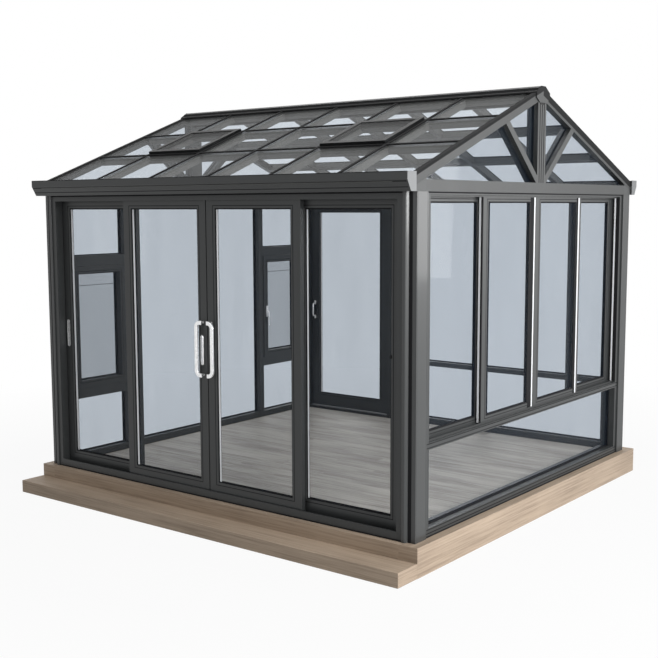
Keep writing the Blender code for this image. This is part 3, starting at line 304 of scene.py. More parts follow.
def satinMetal(name, colour, metallic, roughness, look=brushLook):
    # brushed or enamelled metal: fine lines along its length in the roughness and the bump
    metal = Finish(name, Metallic=metallic)
    place = metal.objectPlace()
    lines, cloud = (metal.noise(place, **look[layer]) for layer in ("lines", "cloud"))
    metal.wear("Base Color", metal.mixColours(cloud, colour, toned(colour, look["darker"])))
    metal.wear("Roughness", roughness + (lines - 0.5) * look["lineRoughness"])
    metal.wear("Normal", metal.bump(lines, *look["bump"]))
    return metal.material


rubberLook = {"colour": (0.010, 0.010, 0.011), "skin": {"scale": 300.0, "detail": 3.0}, "paler": 1.8,
              "roughness": 0.62, "skinRoughness": 0.2}


def sealRubber(name, look=rubberLook):
    # matt black gasket with a slightly mottled skin; the same black is laid as painted shade in gaps and
    # recesses
    rubber = Finish(name, Specular_IOR_Level=0.1)
    skin = rubber.noise(rubber.objectPlace(), **look["skin"])
    tones = look["colour"], toned(look["colour"], look["paler"])
    rubber.wear("Base Color", rubber.mixColours(skin, *tones))
    rubber.wear("Roughness", look["roughness"] + skin * look["skinRoughness"])
    return rubber.material


frameCoat = powderCoat("frameCoat", coatLook["frame"], Specular_IOR_Level=0.38)
postCoat = powderCoat("postCoat", coatLook["frame"], Specular_IOR_Level=0.38, Coat_Weight=0.31,
                      Coat_Roughness=0.11)
roofCoat = powderCoat("roofCoat", coatLook["rafter"], "rafters", Specular_IOR_Level=0.3)
gutterCoat = powderCoat("gutterCoat", coatLook["frame"], "gutter", Specular_IOR_Level=0.38)
trussCoat = powderCoat("trussCoat", coatLook["truss"], "rafters", Specular_IOR_Level=0.38)
darkCoat = powderCoat("darkCoat", coatLook["dark"], Specular_IOR_Level=0.18)
wallGlass = paneGlass("wallGlass", **glassLook["wall"])
casementGlass = paneGlass("casementGlass", **glassLook["casement"])
roofGlass = paneGlass("roofGlass", **glassLook["roof"])
gableGlass = paneGlass("gableGlass", **glassLook["gable"])
plinthWood = timber("plinthWood", **woodLook["plinth"])
deckWood = timber("deckWood", **woodLook["deck"])
handleMetal = satinMetal("handleMetal", **metalLook["handle"])
paleSpacerAndHighlight = satinMetal("paleSpacerAndHighlight", **metalLook["spacer"])
blackSealAndShade = sealRubber("blackSealAndShade")

finishOfSlot = {
    "anthracite": frameCoat,
    "dark_anthracite": darkCoat,
    "pale_aluminium": handleMetal,
    "clear_glass": wallGlass,
    "plinth_timber": plinthWood,
    "deck_timber": deckWood,
}
slotOfFinish = {finish: slot for slot, finish in finishOfSlot.items()}
slotOfFinish.update({postCoat: "anthracite", roofCoat: "anthracite", blackSealAndShade: "dark_anthracite",
                     paleSpacerAndHighlight: "pale_aluminium"})
slotOfNode = {entry["node"]: entry["material_slot"] for entry in frame["record"]["subparts"]}


def dressNodes():
    for name, node in nodes.items():
        chosen = finishOfSlot[slotOfNode[name]]
        if "glass" in name and "roof" in name:
            chosen = roofGlass
        elif name.startswith("gable_glass"):
            chosen = gableGlass
        elif name.startswith("casement") and "glass" in name:
            chosen = casementGlass
        elif name.endswith("roof_rafters"):
            chosen = roofCoat
        elif name.endswith("gutter"):
            chosen = gutterCoat
        elif name.startswith("gable_truss"):
            chosen = trussCoat
        elif name == "ridge_beam" or name.startswith("roof_vent") and name.endswith("frame"):
            chosen = darkCoat
        node.data.materials.clear()
        node.data.materials.append(chosen)


dressNodes()
print("finishes on", len(nodes), "nodes")


# Meshes from arrays

def addPiece(name, points, faces, material, body, smooth=False):
    # a mesh from arrays, riding on a body, with its finish
    mesh = bpy.data.meshes.new(name)
    mesh.from_pydata(points.reshape(-1, 3).tolist(), [], faces)
    mesh.materials.append(material)
    mesh.polygons.foreach_set("use_smooth", np.full(len(mesh.polygons), smooth))
    mesh.update()
    made = bpy.data.objects.new(name, mesh)
    bpy.context.scene.collection.objects.link(made)
    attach(made, body)
    return made


def turnOut(made, sharp=None, merge=1e-6):
    # joins doubled points, turns every face outwards and keeps edges past an angle sharp
    shape = bmesh.new()
    shape.from_mesh(made.data)
    bmesh.ops.remove_doubles(shape, verts=shape.verts, dist=merge)
    bmesh.ops.recalc_face_normals(shape, faces=shape.faces)
    shape.to_mesh(made.data)
    shape.free()
    if sharp:
        made.data.set_sharp_from_angle(angle=sharp)
    return made


def ringFaces(rings, corners, count, capped):
    # faces of `count` equal tubes, each of `rings` rings of `corners` points, joined end to end
    ring = np.arange(rings - 1)[:, None] * corners
    corner = np.arange(corners)[None, :]
    after = (corner + 1) % corners
    quads = np.stack([ring + corner, ring + after, ring + corners + after, ring + corners + corner], axis=-1)
    offsets = (np.arange(count) * rings * corners)[:, None, None]
    faces = (quads.reshape(1, -1, 4) + offsets).reshape(-1, 4).tolist()
    if capped:
        first = np.arange(corners)[::-1] + offsets[:, 0]
        last = np.arange(corners) + (rings - 1) * corners + offsets[:, 0]
        faces += first.tolist() + last.tolist()
    return faces


cornerSigns = np.array([(0, 0), (1, 0), (1, 1), (0, 1)], float)  # once round a rectangle
boardLook = {"shift": 7.31, "slip": 0.37}  # how the grain moves on from one board to the next


def boardMesh(name, boards, arris, material, body, look=boardLook):
    # Each board is (corner, along, across, up): a slab whose arrises are planed off. Four rings go
    # up it: the foot, an arris higher, an arris under the top, and the top. The first and the last
    # are drawn in by the arris on all sides.
    data = np.array(boards, float)
    edges = data[:, 1:]
    size = np.linalg.norm(edges, axis=2)[:, :, None, None]
    unit = (edges / size[:, :, 0])[:, :, None, None, :]
    inset = np.array([arris, 0.0, 0.0, arris])[:, None]
    x, y = (inset + cornerSigns[:, axis] * (size[:, axis] - 2 * inset) for axis in (0, 1))
    tall = size[:, 2]
    lift = np.concatenate([np.zeros_like(tall), np.full_like(tall, arris), tall - arris, tall], axis=1)
    z = np.broadcast_to(lift, x.shape)
    points = (data[:, 0][:, None, None, :] + x[..., None] * unit[:, 0]
              + y[..., None] * unit[:, 1] + z[..., None] * unit[:, 2])
    made = addPiece(name, points, ringFaces(4, 4, len(data), True), material, body)
    # u runs along a board and v round it, but at a board's ends u runs across and v up
    shift = (np.arange(len(data)) * look["shift"])[:, None, None]
    slip = shift * look["slip"]
    loops = np.empty(len(made.data.loops), int)
    made.data.loops.foreach_get("vertex_index", loops)
    sides = np.concatenate([np.tile(np.arange(3 * 4) % 4, len(data)), np.zeros(2 * len(data), int)])
    atEnd = np.repeat(sides, 4) % 2 == 1
    u = np.where(atEnd, (y + shift).reshape(-1)[loops], (x + shift).reshape(-1)[loops])
    v = np.where(atEnd, (z + slip).reshape(-1)[loops], (y + z + slip).reshape(-1)[loops])
    layer = made.data.uv_layers.new(name="boards")
    layer.data.foreach_set("uv", np.stack([u, v], axis=1).reshape(-1))
    return turnOut(made)


def loopMesh(name, loops, section, body, plane):
    # A section carried round each rectangle (low, high, depth, way) and mitred at its corners: a
    # point (inset, out) of it lies that far inside the rectangle and way times out of its plane.
    rects = np.array([[*low, *high, depth, way] for low, high, depth, way in loops], float)
    inset, out = np.array(section, float).T
    low, high, depth, way = rects[:, 0:2], rects[:, 2:4], rects[:, 4], rects[:, 5]
    near = low[:, None, None, :] + inset[None, :, None, None]
    far = high[:, None, None, :] - inset[None, :, None, None]
    flat = near + (far - near) * cornerSigns
    level = np.broadcast_to((depth[:, None] + way[:, None] * out)[:, :, None], flat.shape[:3])
    along, up = flat[..., 0], flat[..., 1]
    points = np.stack((level, along, up) if plane == "X" else (along, level, up), axis=-1)
    points = np.concatenate([points, points[:, :1]], axis=1)
    return turnOut(addPiece(name, points, ringFaces(len(section) + 1, 4, len(rects), False), blackSealAndShade, body))


# Boards of the plinth and the floor

deckLook = {"plank": 0.145, "gap": 0.0025, "arris": 0.0012, "firstJoint": 0.31, "jointReach": 0.37,
            "jointStep": 0.618}


def deckPlanks(look=deckLook):
    # rows of two planks each, whose joint moves on by the same step from row to row
    low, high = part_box("deck_floor")
    rows = int(round((high.y - low.y) / look["plank"]))
    pitch = (high.y - low.y) / rows
    boards = []
    for row in range(rows):
        joint = look["firstJoint"] + look["jointReach"] * (row * look["jointStep"] % 1.0)
        ends = [low.x, low.x + (high.x - low.x) * joint, high.x]
        for start, end in zip(ends[:-1], ends[1:]):
            boards.append((
                (start, low.y + row * pitch, low.z),
                (end - start - look["gap"] * (end < high.x), 0, 0),
                (0, pitch - look["gap"], 0),
                (0, 0, high.z - low.z),
            ))
    made = boardMesh("deckPlanks", boards, look["arris"], deckWood, "room")
    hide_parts("deck_floor")


plinthLook = {"board": 0.145, "seam": 0.0003, "arris": 0.003}


def plinthBoards(look=plinthLook):
    # a border of boards round the platform's middle, and the step in one piece
    low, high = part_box("plinth_platform")
    board = look["board"]
    wide, deep, up = high.x - low.x, high.y - low.y, (0, 0, high.z - low.z)
    start, inner = low.x + board, (wide - 2 * board, 0, 0)
    platform = [
        ((start, low.y, low.z), inner, (0, board, 0), up),
        ((start, high.y - board, low.z), inner, (0, board, 0), up),
        ((start, low.y + board, low.z), inner, (0, deep - 2 * board, 0), up),
        ((high.x, low.y, low.z), (0, deep, 0), (-board, 0, 0), up),
        ((start, low.y, low.z), (0, deep, 0), (-board, 0, 0), up),
    ]
    made = boardMesh("plinthBoards", platform, look["seam"], plinthWood, "room")
    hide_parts("plinth_platform")
    low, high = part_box("front_step")
    step = [(tuple(low), (high.x - low.x, 0, 0), (0, high.y - low.y, 0), (0, 0, high.z - low.z))]
    made = boardMesh("stepBoards", step, look["arris"], plinthWood, "room")
    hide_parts("front_step")


deckPlanks()
plinthBoards()
print("boards laid")


# Corner posts with round nosings

postLook = {"face": 0.095, "side": 0.155, "notchWidth": 0.056, "notchDepth": 0.025,
            "curve": 0.0666, "curveFrom": radians(44), "curveTo": radians(20), "small": 0.005,
            "groove": 0.0016, "grooveAt": (0.034, 0.146), "steps": 12, "sharp": radians(18),
            "shadeWidth": 0.024, "shadeProud": 0.003, "shadeRoot": 0.0003}


def arcPoints(centre, radius, first, last, steps):
    # points on a circle about the centre, from one angle to another
    angles = np.linspace(first, last, steps + 1)
    return np.stack([centre[0] + radius * np.cos(angles), centre[1] + radius * np.sin(angles)], axis=1)


def postProfile(look=postLook):
    # the post from above: notch, side with two fine grooves, back, and the nosing in front, whose
    # outer corner is a long shallow curve
    curve, small, groove = look["curve"], look["small"], look["groove"]
    side = []
    for at in look["grooveAt"]:
        side += [(0, at - groove), (groove, at), (0, at + groove)]
    inner = arcPoints((look["face"] - small, small), small, 0, -pi / 2, look["steps"] // 2)
    centre = (look["notchWidth"] + curve * cos(look["curveTo"]), curve * sin(look["curveFrom"]))
    outer = arcPoints(centre, curve, look["curveFrom"] - pi, look["curveTo"] - pi, look["steps"])
    return np.concatenate([
        [(0, look["notchDepth"])], side, [(0, look["side"]), (look["face"], look["side"])],
        inner, outer, [(look["notchWidth"], look["notchDepth"])]])


def postCorners():
    # each post's name, its outer corner, the ways inwards from there, its foot and its head
    for side, wayX in (("left", 1), ("right", -1)):
        for end, wayY in (("front", 1), ("back", -1)):
            low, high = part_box(f"corner_post_{end}_{side}")
            corner = (low.x if wayX > 0 else high.x), (low.y if wayY > 0 else high.y)
            yield f"{end}_{side}", np.array(corner), np.array((wayX, wayY)), low.z, high.z


def postSkins(look=postLook):
    # each post is its profile, mirrored into its corner and drawn straight up
    profile = postProfile(look)
    for place, corner, ways, foot, head in postCorners():
        flat = corner + ways * profile
        rings = np.stack([np.column_stack([flat, np.full(len(flat), z)]) for z in (foot, head)])
        coat = postCoat if place.startswith("front") else frameCoat
        made = addPiece(f"post_{place}", rings, ringFaces(2, len(flat), 1, True), coat, "room", smooth=True)
        turnOut(made, look["sharp"])
        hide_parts(f"corner_post_{place}")


def postNotchShades(look=postLook):
    # painted shade: a black strip in each post's notch, beside the nosing, where the recess lies in shade
    notchShades = []
    for _, corner, ways, foot, head in postCorners():
        x, y = corner + ways * (np.array((look["notchWidth"], look["notchDepth"])) + look["shadeRoot"])
        notchShades.append(((x, y, foot), (-ways[0] * look["shadeWidth"], 0, 0),
                      (0, -ways[1] * look["shadeProud"], 0), (0, 0, head - foot)))
    boardMesh("postNotchShades", notchShades, look["shadeRoot"], blackSealAndShade, "room")


postSkins()
postNotchShades()
print("posts skinned")


# Seals and spacer bars round the panes, with strips of painted shade and painted highlight where the sashes
# meet

sealLook = {"bite": 0.014, "pane": 0.02, "width": 0.0085, "proud": 0.0042, "root": 0.0004,
            "overlap": 0.0005, "crown": 0.35, "lip": 0.25, "spacerWidth": 0.0075,
            "spacerReach": 0.0088, "spacerTuck": 0.001, "arris": 0.0005}
leaves = [f"leaf_{number}" for number in range(1, 5)]
sashes = [f"window_sash_{number}" for number in range(1, 5)]
casements = ["casement_front", "casement_back"]


def flatBox(name):
    # the axis that a pane faces, its corners in its own plane, and the middle of its depth
    low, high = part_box(name)
    if high.x - low.x < high.y - low.y:
        return "X", (low.y, low.z), (high.y, high.z), (low.x + high.x) / 2
    return "Y", (low.x, low.z), (high.x, high.z), (low.y + high.y) / 2


def singleLight(name, look=sealLook):
    # the clear opening of a pane that has a frame of its own
    bite = look["bite"]
    plane, low, high, depth = flatBox(name)
    return plane, (low[0] + bite, low[1] + bite), (high[0] - bite, high[1] - bite), depth


wallLook = {"transom": 0.088, "mullion": 0.06, "midRail": (0.785, 0.83), "backMullion": 0.42}


def fixedLights(look=wallLook):
    # the five fixed lights of the left wall and the four of the back wall
    plane, low, high, depth = singleLight("left_wall_glass")
    front, back = (flatBox(f"{casement}_frame") for casement in casements)
    lights = []
    for _, sashLow, sashHigh, _ in (front, back):
        lights.append((plane, (sashLow[0], low[1]), (sashHigh[0], sashLow[1] - look["transom"]), depth))
        lights.append((plane, (sashLow[0], sashHigh[1] + look["transom"]), (sashHigh[0], high[1]), depth))
    near, far = front[2][0] + look["mullion"], back[1][0] - look["mullion"]
    lights.append((plane, (near, low[1]), (far, high[1]), depth))
    plane, low, high, depth = singleLight("back_wall_glass")
    half = look["mullion"] / 2
    for left, right in ((low[0], look["backMullion"] - half), (look["backMullion"] + half, high[0])):
        lights.append((plane, (left, low[1]), (right, look["midRail"][0]), depth))
        lights.append((plane, (left, look["midRail"][1]), (right, high[1]), depth))
    return lights


def gaskets(name, body, lights, look=sealLook):
    # a black gasket on both faces of each pane: its section is proud at the frame and falls to a lip
    width, proud, root = look["width"], look["proud"], look["root"]
    section = [(-look["overlap"], -root), (-look["overlap"], proud), (look["crown"] * width, proud),
               (width, look["lip"] * proud), (width, -root)]
    half = look["pane"] / 2
    for plane in ("X", "Y"):
        both = [(low, high, depth + way * half, way) for facing, low, high, depth in lights
                for way in (-1, 1) if facing == plane]
        if both:
            loopMesh(f"gaskets_{name}_{plane}", both, section, body, plane)


def spacersAndHighlights(body, light, look=sealLook):
    # a pale spacer bar inside each upright edge of a leaf's pane, which faces along y; it is also a painted
    # highlight, as only the upright edges, which catch the light, get one
    plane, low, high, depth = light
    reach, width, root = look["spacerReach"], look["spacerWidth"], look["root"]
    edges = (low[0] - look["spacerTuck"], high[0] + look["spacerTuck"] - width)
    bars = [((edge, depth - reach, low[1] + root), (width, 0, 0), (0, 2 * reach, 0),
             (0, 0, high[1] - low[1] - 2 * root)) for edge in edges]
    boardMesh(f"spacers_{body}_{plane}", bars, look["arris"], paleSpacerAndHighlight, body)


def sealEverything():
    for body in leaves + ["back_door"]:
        light = singleLight(f"{body}_glass")
        gaskets(body, body, [light])
        spacersAndHighlights(body, light)
    gaskets("room", "room", [singleLight(f"{sash}_glass") for sash in sashes])
    still = [f"{casement}_glass" for casement in casements] + ["right_lower_glass"]
    gaskets("walls", "room", [singleLight(pane) for pane in still] + fixedLights())


screenLook = {"below": 0.107, "height": 0.004, "proud": 0.0015, "root": 0.0003, "inset": 0.0005}


def screenBars(look=screenLook, seal=sealLook):
    # the thin level bar across the inside of each casement's pane
    bars = []
    for casement in casements:
        _, low, high, depth = singleLight(f"{casement}_glass")
        face = depth + seal["pane"] / 2 - look["root"]
        bars.append(((face, low[0] + look["inset"], high[1] - look["below"]),
                     (0, high[0] - low[0] - 2 * look["inset"], 0), (look["proud"] + look["root"], 0, 0),
                     (0, 0, look["height"])))
    boardMesh("casementBars", bars, look["root"], blackSealAndShade, "room")


# each pair is where a strip starts and ends, beyond the edge that it is measured from
sashLook = {
    "inset": 0.012,
    "proud": 0.0012,
    "root": 0.0002,
    "stile": 0.085,
    "firstShade": (0.0005, 0.0295),
    "firstLip": (0.0005, 0.012),
    "firstPale": (0.0045, 0.0195),
    "meetDark": (0.002, 0.058),
    "meetPale": (0.0635, 0.0785),
    "lastDark": (0.002, 0.030),
    "lastPale": (0.033, 0.053),
    "jambDark": (0.003, 0.066),
    "jambPale": (0.0215, 0.0345),
}


def sashStrips(look=sashLook):
    # painted shade and painted highlight where the sashes of the right wall meet: upright black strips where
    # the overlaps lie in shade, and pale strips where the stiles' edges catch the light
    boxes = [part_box(f"{sash}_frame") for sash in sashes]
    inner, outer = boxes[0][1].x, boxes[1][1].x
    foot = boxes[1][0].z + look["inset"]
    up = (0, 0, boxes[1][1].z - boxes[1][0].z - 2 * look["inset"])
    root = look["root"]

    def onFace(start, part, lift):
        # a strip on the outer faces, beyond y = start
        first, last = look[part]
        return (outer - root, start + first, foot), (0, last - first, 0), (root + lift, 0, 0), up

    def onReturn(y, start, part, lift):
        # a strip on a side that faces the front, beyond x = start
        first, last = look[part]
        return (start + first, y + root, foot), (last - first, 0, 0), (0, -root - lift, 0), up

    second, last = boxes[1][0], boxes[3][1]
    meet, end = boxes[1][1].y - look["stile"], boxes[2][1].y - look["stile"]
    low, high = look["proud"] / 2, look["proud"]
    boardMesh("sashShadeStrips", [
        onReturn(second.y, second.x, "firstShade", low), onFace(second.y, "firstLip", low),
        onFace(meet, "meetDark", low), onFace(end, "lastDark", low),
        onReturn(last.y, inner, "jambDark", low)], root, blackSealAndShade, "room")
    boardMesh("sashHighlightStrips", [
        onReturn(second.y, second.x, "firstPale", high), onFace(meet, "meetPale", high),
        onFace(end, "lastPale", high), onReturn(last.y, inner, "jambPale", high)], root, paleSpacerAndHighlight, "room")


beadLook = {"near": 0.0166, "far": 0.0212, "proud": 0.0005, "root": 0.0004}


def beadLines(look=beadLook):
    # the dark joint between each frame and its glazing bead, on both faces
    near, far, proud, root = (look[key] for key in ("near", "far", "proud", "root"))
    section = [(-far, -root), (-far, proud), (-near, proud), (-near, -root)]
    holders = [(leaf, f"{leaf}_frame", leaf) for leaf in leaves]
    holders += [("back_door", "back_door_leaf", "back_door")]
    holders += [(name, f"{name}_frame", "room") for name in sashes + casements]
    for name, holder, body in holders:
        plane, low, high, _ = singleLight(f"{name}_glass")
        corner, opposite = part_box(holder)
        faces = (corner.x, opposite.x) if plane == "X" else (corner.y, opposite.y)
        loops = [(low, high, face, way) for face, way in zip(faces, (-1, 1))]
        loopMesh(f"beadLine_{name}_glass", loops, section, body, plane)


sealEverything()
screenBars()
sashStrips()
beadLines()
print("panes sealed")


# Black strips of painted shade in the shadow gaps of the walls, and the lines of rails and gutters

stripLook = {"height": 0.009, "proud": 0.0032, "wallX": 1.813, "frontY": -1.6135, "backY": 1.7725,
             "alongX": 1.728, "nearY": -1.469, "farY": 1.628, "top": 2.4497, "floor": 0.2003,
             "arris": 0.0006}


def shadowGapStrips(look=stripLook):
    # painted shade: a black level strip in the shadow gap at the foot and the head of each wall's outer face
    tall, proud = look["height"], look["proud"]
    deep = look["farY"] - look["nearY"]
    strips = []
    for foot in (look["top"] - tall, look["floor"]):
        for way in (-1, 1):
            corner = (way * look["wallX"] - (0 if way > 0 else proud), look["nearY"], foot)
            strips.append((corner, (0, deep, 0), (proud, 0, 0), (0, 0, tall)))
        for face, way in ((look["frontY"], -1), (look["backY"], 1)):
            corner = (-look["alongX"], face - (0 if way > 0 else proud), foot)
            strips.append((corner, (2 * look["alongX"], 0, 0), (0, proud, 0), (0, 0, tall)))
    boardMesh("shadowGapStrips", strips, look["arris"], blackSealAndShade, "room")


railLook = {"proud": 0.0015, "arris": 0.0003, "height": 0.0055, "levels": (0.223, 0.2475, 0.7935, 0.8205)}


def railLines(look=railLook, strip=stripLook):
    # dark joints along the outer faces of the right wall's foot rail and middle rail
    face = strip["wallX"] - look["arris"]
    lines = [((face, strip["nearY"], level), (0, strip["farY"] - strip["nearY"], 0),
              (look["arris"] + look["proud"], 0, 0), (0, 0, look["height"])) for level in look["levels"]]
    boardMesh("railLines", lines, look["arris"], blackSealAndShade, "room")


gutterLook = {"reach": 0.101, "height": 0.123, "upright": 0.05, "taper": 0.041, "lift": 0.0003,
              "beadAt": 0.010, "beadWidth": 0.006, "beadProud": 0.003, "beadArris": 0.0009,
              "lineAt": 0.052, "lineWidth": 0.005, "proud": 0.0008, "arris": 0.0003,
              "topLine": 0.0045, "endGap": 0.012}


def gutterLines(look=gutterLook):
    # a small bead in the paler roof coat, as a painted highlight, and a black line of painted shade along
    # each gutter's sloping face, and another at the front lip
    fall = np.array([-look["taper"], look["lift"] - (look["height"] - look["upright"])])
    fall /= np.linalg.norm(fall)
    beads, lines = [], []
    for name, way in (("front_gutter", -1), ("back_gutter", 1)):
        low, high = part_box(name)
        wall = (low.y if way < 0 else high.y) - way * look["reach"]
        start, along = low.x + look["endGap"], (high.x - low.x - 2 * look["endGap"], 0, 0)
        for at, width, proud, kept in ((look["beadAt"], look["beadWidth"], look["beadProud"], beads),
                                       (look["lineAt"], look["lineWidth"], look["proud"], lines)):
            y = wall + way * (look["reach"] + fall[0] * at)
            z = high.z - look["upright"] + fall[1] * at
            across = (0, way * fall[0] * width, fall[1] * width)
            out = (0, -way * fall[1] * proud, fall[0] * proud)
            kept.append(((start, y, z), along, across, out))
        if way < 0:
            lines.append(((start, low.y, high.z - look["topLine"]), along, (0, 0, look["topLine"]),
                          (0, -look["proud"], 0)))
    boardMesh("gutterHighlightBeads", beads, look["beadArris"], roofCoat, "room")
    boardMesh("gutterShadeLines", lines, look["arris"], blackSealAndShade, "room")


shadowGapStrips()
railLines()
gutterLines()
print("strips laid")


# Fittings

plateLook = {"steps": 10, "rim": 0.6, "middle": 0.12, "sharp": radians(50)}


def capsulePlate(name, centre, facing, size, material, body, look=plateLook):
    # A pill: two half circles joined by straight sides, in rings that rise and then draw in
    # towards the middle line, so that its rim is round. facing is (axis, way).
    axis, way = facing
    radius, proud, reach = size["radius"], size["proud"], size["halfLength"]
    turn = np.linspace(0, pi / 2, look["steps"] // 2 + 1)
    rim = min(proud, radius * look["rim"])
    ring = np.concatenate([
        [(radius, 0.0)],
        np.stack([radius - rim + rim * np.cos(turn), proud - rim + rim * np.sin(turn)], axis=1),
        [(radius * look["middle"], proud)]])
    angles = np.linspace(0, pi, look["steps"] + 1)
    across = np.concatenate([np.cos(angles), -np.cos(angles)])
    upward = np.concatenate([np.sin(angles), -np.sin(angles)])
    shift = np.repeat([reach, -reach], len(angles))
    flat = ring[:, 0:1] * across
    tall = ring[:, 0:1] * upward + shift
    out = np.broadcast_to(way * ring[:, 1:2], flat.shape)
    points = np.stack((out, flat, tall) if axis == "X" else (flat, out, tall), axis=-1) + np.array(centre)
    made = addPiece(name, points, ringFaces(len(ring), len(across), 1, True), material, body, smooth=True)
    return turnOut(made, look["sharp"])


barLook = {"corners": 14, "sharp": radians(60)}


def sweptBar(name, path, widths, thicks, across, body, look=barLook):
    # An oval carried along a path: at each station its two half axes follow the widths along
    # the `across` direction and the thicknesses along the direction square to it and to the path.
    ahead = np.gradient(path, axis=0)
    ahead /= np.linalg.norm(ahead, axis=1)[:, None]
    side = np.broadcast_to(np.array(across, float), path.shape)
    third = np.cross(ahead, side)
    angles = np.linspace(0, 2 * pi, look["corners"], endpoint=False)
    points = (path[:, None, :] + (widths[:, None] / 2 * np.cos(angles))[..., None] * side[:, None, :]
              + (thicks[:, None] / 2 * np.sin(angles))[..., None] * third[:, None, :])
    faces = ringFaces(len(path), look["corners"], 1, True)
    return turnOut(addPiece(name, points, faces, handleMetal, body, smooth=True), look["sharp"])


leverLook = {"z": 1.29, "inset": 0.046, "halfLength": 0.045, "radius": 0.0135, "proud": 0.009,
             "lever": 0.145, "width": 0.019, "thick": 0.012, "stand": 0.022, "seat": 0.6,
             "stations": 22, "bend": 9.0, "neck": 0.16, "taper": 0.35, "thin": 0.2}


def casementHandle(look=leverLook):
    # on the back casement's near stile: a rose, and a lever that runs out from it and hangs down,
    # narrower and thinner towards its end
    low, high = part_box("casement_back_frame")
    y, face = low.y + look["inset"], high.x
    capsulePlate("casementRose", (face, y, look["z"]), ("X", 1), look, handleMetal, "room")
    stations = np.linspace(0, 1, look["stations"])
    x = face + look["proud"] * look["seat"] + look["stand"] * (1 - np.exp(-stations * look["bend"]))
    z = look["z"] - look["lever"] * np.clip((stations - look["neck"]) / (1 - look["neck"]), 0, 1)
    sweptBar("casementLever", np.stack([x, np.full_like(x, y), z], axis=1),
             look["width"] * (1 - look["taper"] * stations), look["thick"] * (1 - look["thin"] * stations),
             (0, 1, 0), "room")


plateSizes = {
    "pill": {"x": -0.0545, "z": 1.3075, "halfLength": 0.0975, "radius": 0.0145, "proud": 0.007},
    "keyhole": {"x": 1.592, "z": 1.39, "halfLength": 0.004, "radius": 0.011, "proud": 0.004},
}


def leafPlates(look=plateSizes):
    # the pill plate beside the second leaf's pull, and the keyhole of the fourth leaf
    pill, key = look["pill"], look["keyhole"]
    outer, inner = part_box("leaf_2_frame")[0].y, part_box("leaf_4_frame")[0].y
    capsulePlate("meetingPlate", (pill["x"], outer, pill["z"]), ("Y", -1), pill, handleMetal, "leaf_2")
    capsulePlate("keyhole", (key["x"], inner, key["z"]), ("Y", -1), key, darkCoat, "leaf_4")


pullLook = {"inset": 0.018, "plateRise": 0.10, "gripRise": 0.104, "grip": 0.128, "bend": 0.016,
            "tube": 0.017, "steps": 10, "capRises": {"low": 0.026, "high": 0.178},
            "plate": {"halfLength": 0.082, "radius": 0.018, "proud": 0.006},
            "cap": {"halfLength": 0.011, "radius": 0.0105, "proud": 0.012}}


def doorPulls(look=pullLook):
    # on each face of the back door: a plate, two cylinder caps, and a grip that runs out from the
    # plate, up, and back, with round corners
    low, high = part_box("back_door_handle")
    leafLow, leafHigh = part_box("back_door_leaf")
    middle = low.x + look["inset"]
    for side, face, tip, way in (("inside", leafLow.y, low.y, -1), ("outside", leafHigh.y, high.y, 1)):
        plate = (middle, face, low.z + look["plateRise"])
        made = capsulePlate(f"doorPlate_{side}", plate, ("Y", way), look["plate"], darkCoat, "back_door")
        if side == "inside":
            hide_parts("back_door_handle")
        front = face + way * look["plate"]["proud"]
        for end, rise in look["capRises"].items():
            capsulePlate(f"lockCap_{side}_{end}", (middle, front, low.z + rise), ("Y", way), look["cap"],
                         handleMetal, "back_door")
        stand = abs(tip - front) - look["tube"] / 2
        half, bend = look["grip"] / 2, look["bend"]
        turn = np.linspace(0, pi / 2, look["steps"])
        reach, rise = stand - bend + bend * np.sin(turn), half - bend + bend * np.cos(turn)
        out = np.concatenate([[0], reach, reach[::-1], [0]])
        lift = np.concatenate([[-half], -rise, rise[::-1], [half]])
        height = low.z + look["gripRise"] + lift
        line = np.stack([np.full_like(out, middle), front + way * out, height], axis=1)
        tube = np.full(len(line), look["tube"])
        sweptBar(f"doorPull_{side}", line, tube, tube, (1, 0, 0), "back_door")


casementHandle()
leafPlates()
doorPulls()
print("fittings placed")


# Camera at the photograph's place, lamps, floor and background

cameraLook = {
    "place": (5.4596, -7.1973, 2.3586),
    "yaw": 0.6583,
    "pitch": -0.1144,
    "roll": -0.0031,
    "lens": 58.39,
    "sensor": 36.0,
}


def addCamera(look=cameraLook):
    # looks along yaw and pitch, with its upright turned by roll
    yaw, pitch, roll = look["yaw"], look["pitch"], look["roll"]
    forward = Vector((-sin(yaw) * cos(pitch), cos(yaw) * cos(pitch), sin(pitch)))
    right = Vector((cos(yaw), sin(yaw), 0))
    up = right.cross(forward)
    across = right * cos(roll) + up * sin(roll)
    above = up * cos(roll) - right * sin(roll)
    lens = bpy.data.cameras.new("photoCamera")
    lens.sensor_width = look["sensor"]
    lens.lens = look["lens"]
    camera = bpy.data.objects.new("photoCamera", lens)
    turned = Matrix((across, above, -forward)).transposed().to_4x4()
    camera.matrix_world = Matrix.Translation(look["place"]) @ turned
    bpy.context.scene.collection.objects.link(camera)
    bpy.context.scene.camera = camera


lampLook = {
    "side": {"place": (8.0, -2.2, 3.5), "aim": (1.2, -0.8, 1.5), "size": 3.0, "power": 590.0},
    "behind": {"place": (-5.0, 8.0, 4.6), "aim": (0.0, 0.0, 1.5), "size": 5.0, "power": 150.0},
    "edge": {"place": (8.0, 6.3, 2.8), "aim": (1.8, -1.0, 1.6), "size": 3.2, "power": 185.0},
    "front": {"place": (-1.5, -9.5, 5.0), "aim": (0.0, 0.0, 1.3), "size": 6.0, "power": 62.0},
    "top": {"place": (0.3, 0.5, 9.0), "aim": (0.0, 0.0, 1.0), "size": 6.0, "power": 260.0},
}


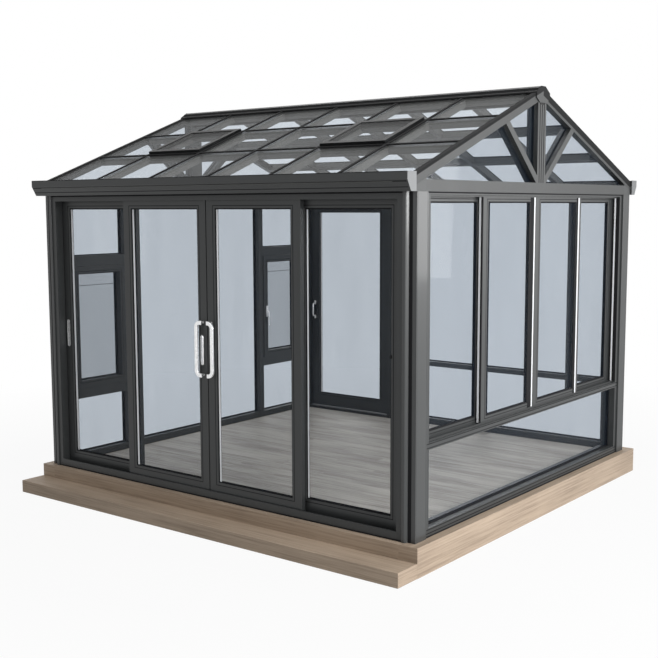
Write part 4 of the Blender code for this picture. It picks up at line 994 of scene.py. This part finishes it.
def addLamps(look=lampLook):
    for name, lamp in look.items():
        light = bpy.data.lights.new(name + "Lamp", "AREA")
        light.shape = "SQUARE"
        light.size = lamp["size"]
        light.energy = lamp["power"]
        made = bpy.data.objects.new(name + "Lamp", light)
        made.location = lamp["place"]
        aim = Vector(lamp["aim"]) - Vector(lamp["place"])
        made.rotation_euler = aim.to_track_quat("-Z", "Y").to_euler()
        made.visible_camera = False
        bpy.context.scene.collection.objects.link(made)


stageLook = {"reach": 60.0, "drop": 0.0005, "floor": (0.60, 0.60, 0.60), "roughness": 0.9,
             "ambient": 0.20, "seen": 0.93, "near": 3.2, "far": 6.5, "white": (1.0, 1.0, 1.0),
             "tint": (0.83, 0.91, 1.0), "faces": 4}


def seenWhite(graph, depth, look=stageLook):
    # white where it is seen directly, and cooler through glass, in step with the number of its faces
    return graph.mixColours(graph.clamped(depth / look["faces"]), look["white"], look["tint"])


def addFloor(look=stageLook):
    # pale paper that keeps the shadow near the object and fades to white further out
    reach = look["reach"]
    mesh = bpy.data.meshes.new("studioFloor")
    square = [(-reach, -reach, 0), (reach, -reach, 0), (reach, reach, 0), (-reach, reach, 0)]
    mesh.from_pydata(square, [], [(0, 1, 2, 3)])
    floor = bpy.data.objects.new("studioFloor", mesh)
    floor.location.z = -look["drop"]
    bpy.context.scene.collection.objects.link(floor)
    paper = Finish("studioPaper", Base_Color=look["floor"], Roughness=look["roughness"],
                   Specular_IOR_Level=0.0)
    seen, depth = paper.lightPath()
    distance = paper.node("ShaderNodeVectorMath", {"operation": "LENGTH"}, {0: paper.objectPlace()}, "Value")
    fade = paper.clamped((distance - look["near"]) / (look["far"] - look["near"]))
    glow = paper.node("ShaderNodeEmission", {}, {"Color": seenWhite(paper, depth), "Strength": 1.0})
    share = seen * (look["seen"] + fade * (1 - look["seen"]))
    plain = Wire(paper, paper.shader.outputs["BSDF"])
    mixed = paper.node("ShaderNodeMixShader", {}, {0: share, 1: plain, 2: glow})
    paper.plug(paper.tree.nodes["Material Output"].inputs["Surface"], mixed)
    mesh.materials.append(paper.material)


def addSky(look=stageLook):
    # white where it is seen, and a dim even light for the rest
    world = bpy.data.worlds.new("studioWorld")
    world.use_nodes = True
    bpy.context.scene.world = world
    sky = Graph(world.node_tree)
    background = world.node_tree.nodes["Background"]
    seen, depth = sky.lightPath()
    sky.plug(background.inputs["Color"], seenWhite(sky, depth))
    sky.plug(background.inputs["Strength"], seen * (1 - look["ambient"]) + look["ambient"])


addCamera()
addLamps()
addFloor()
addSky()
bpy.context.scene.view_settings.view_transform = "Standard"
print("camera, lamps and stage placed")
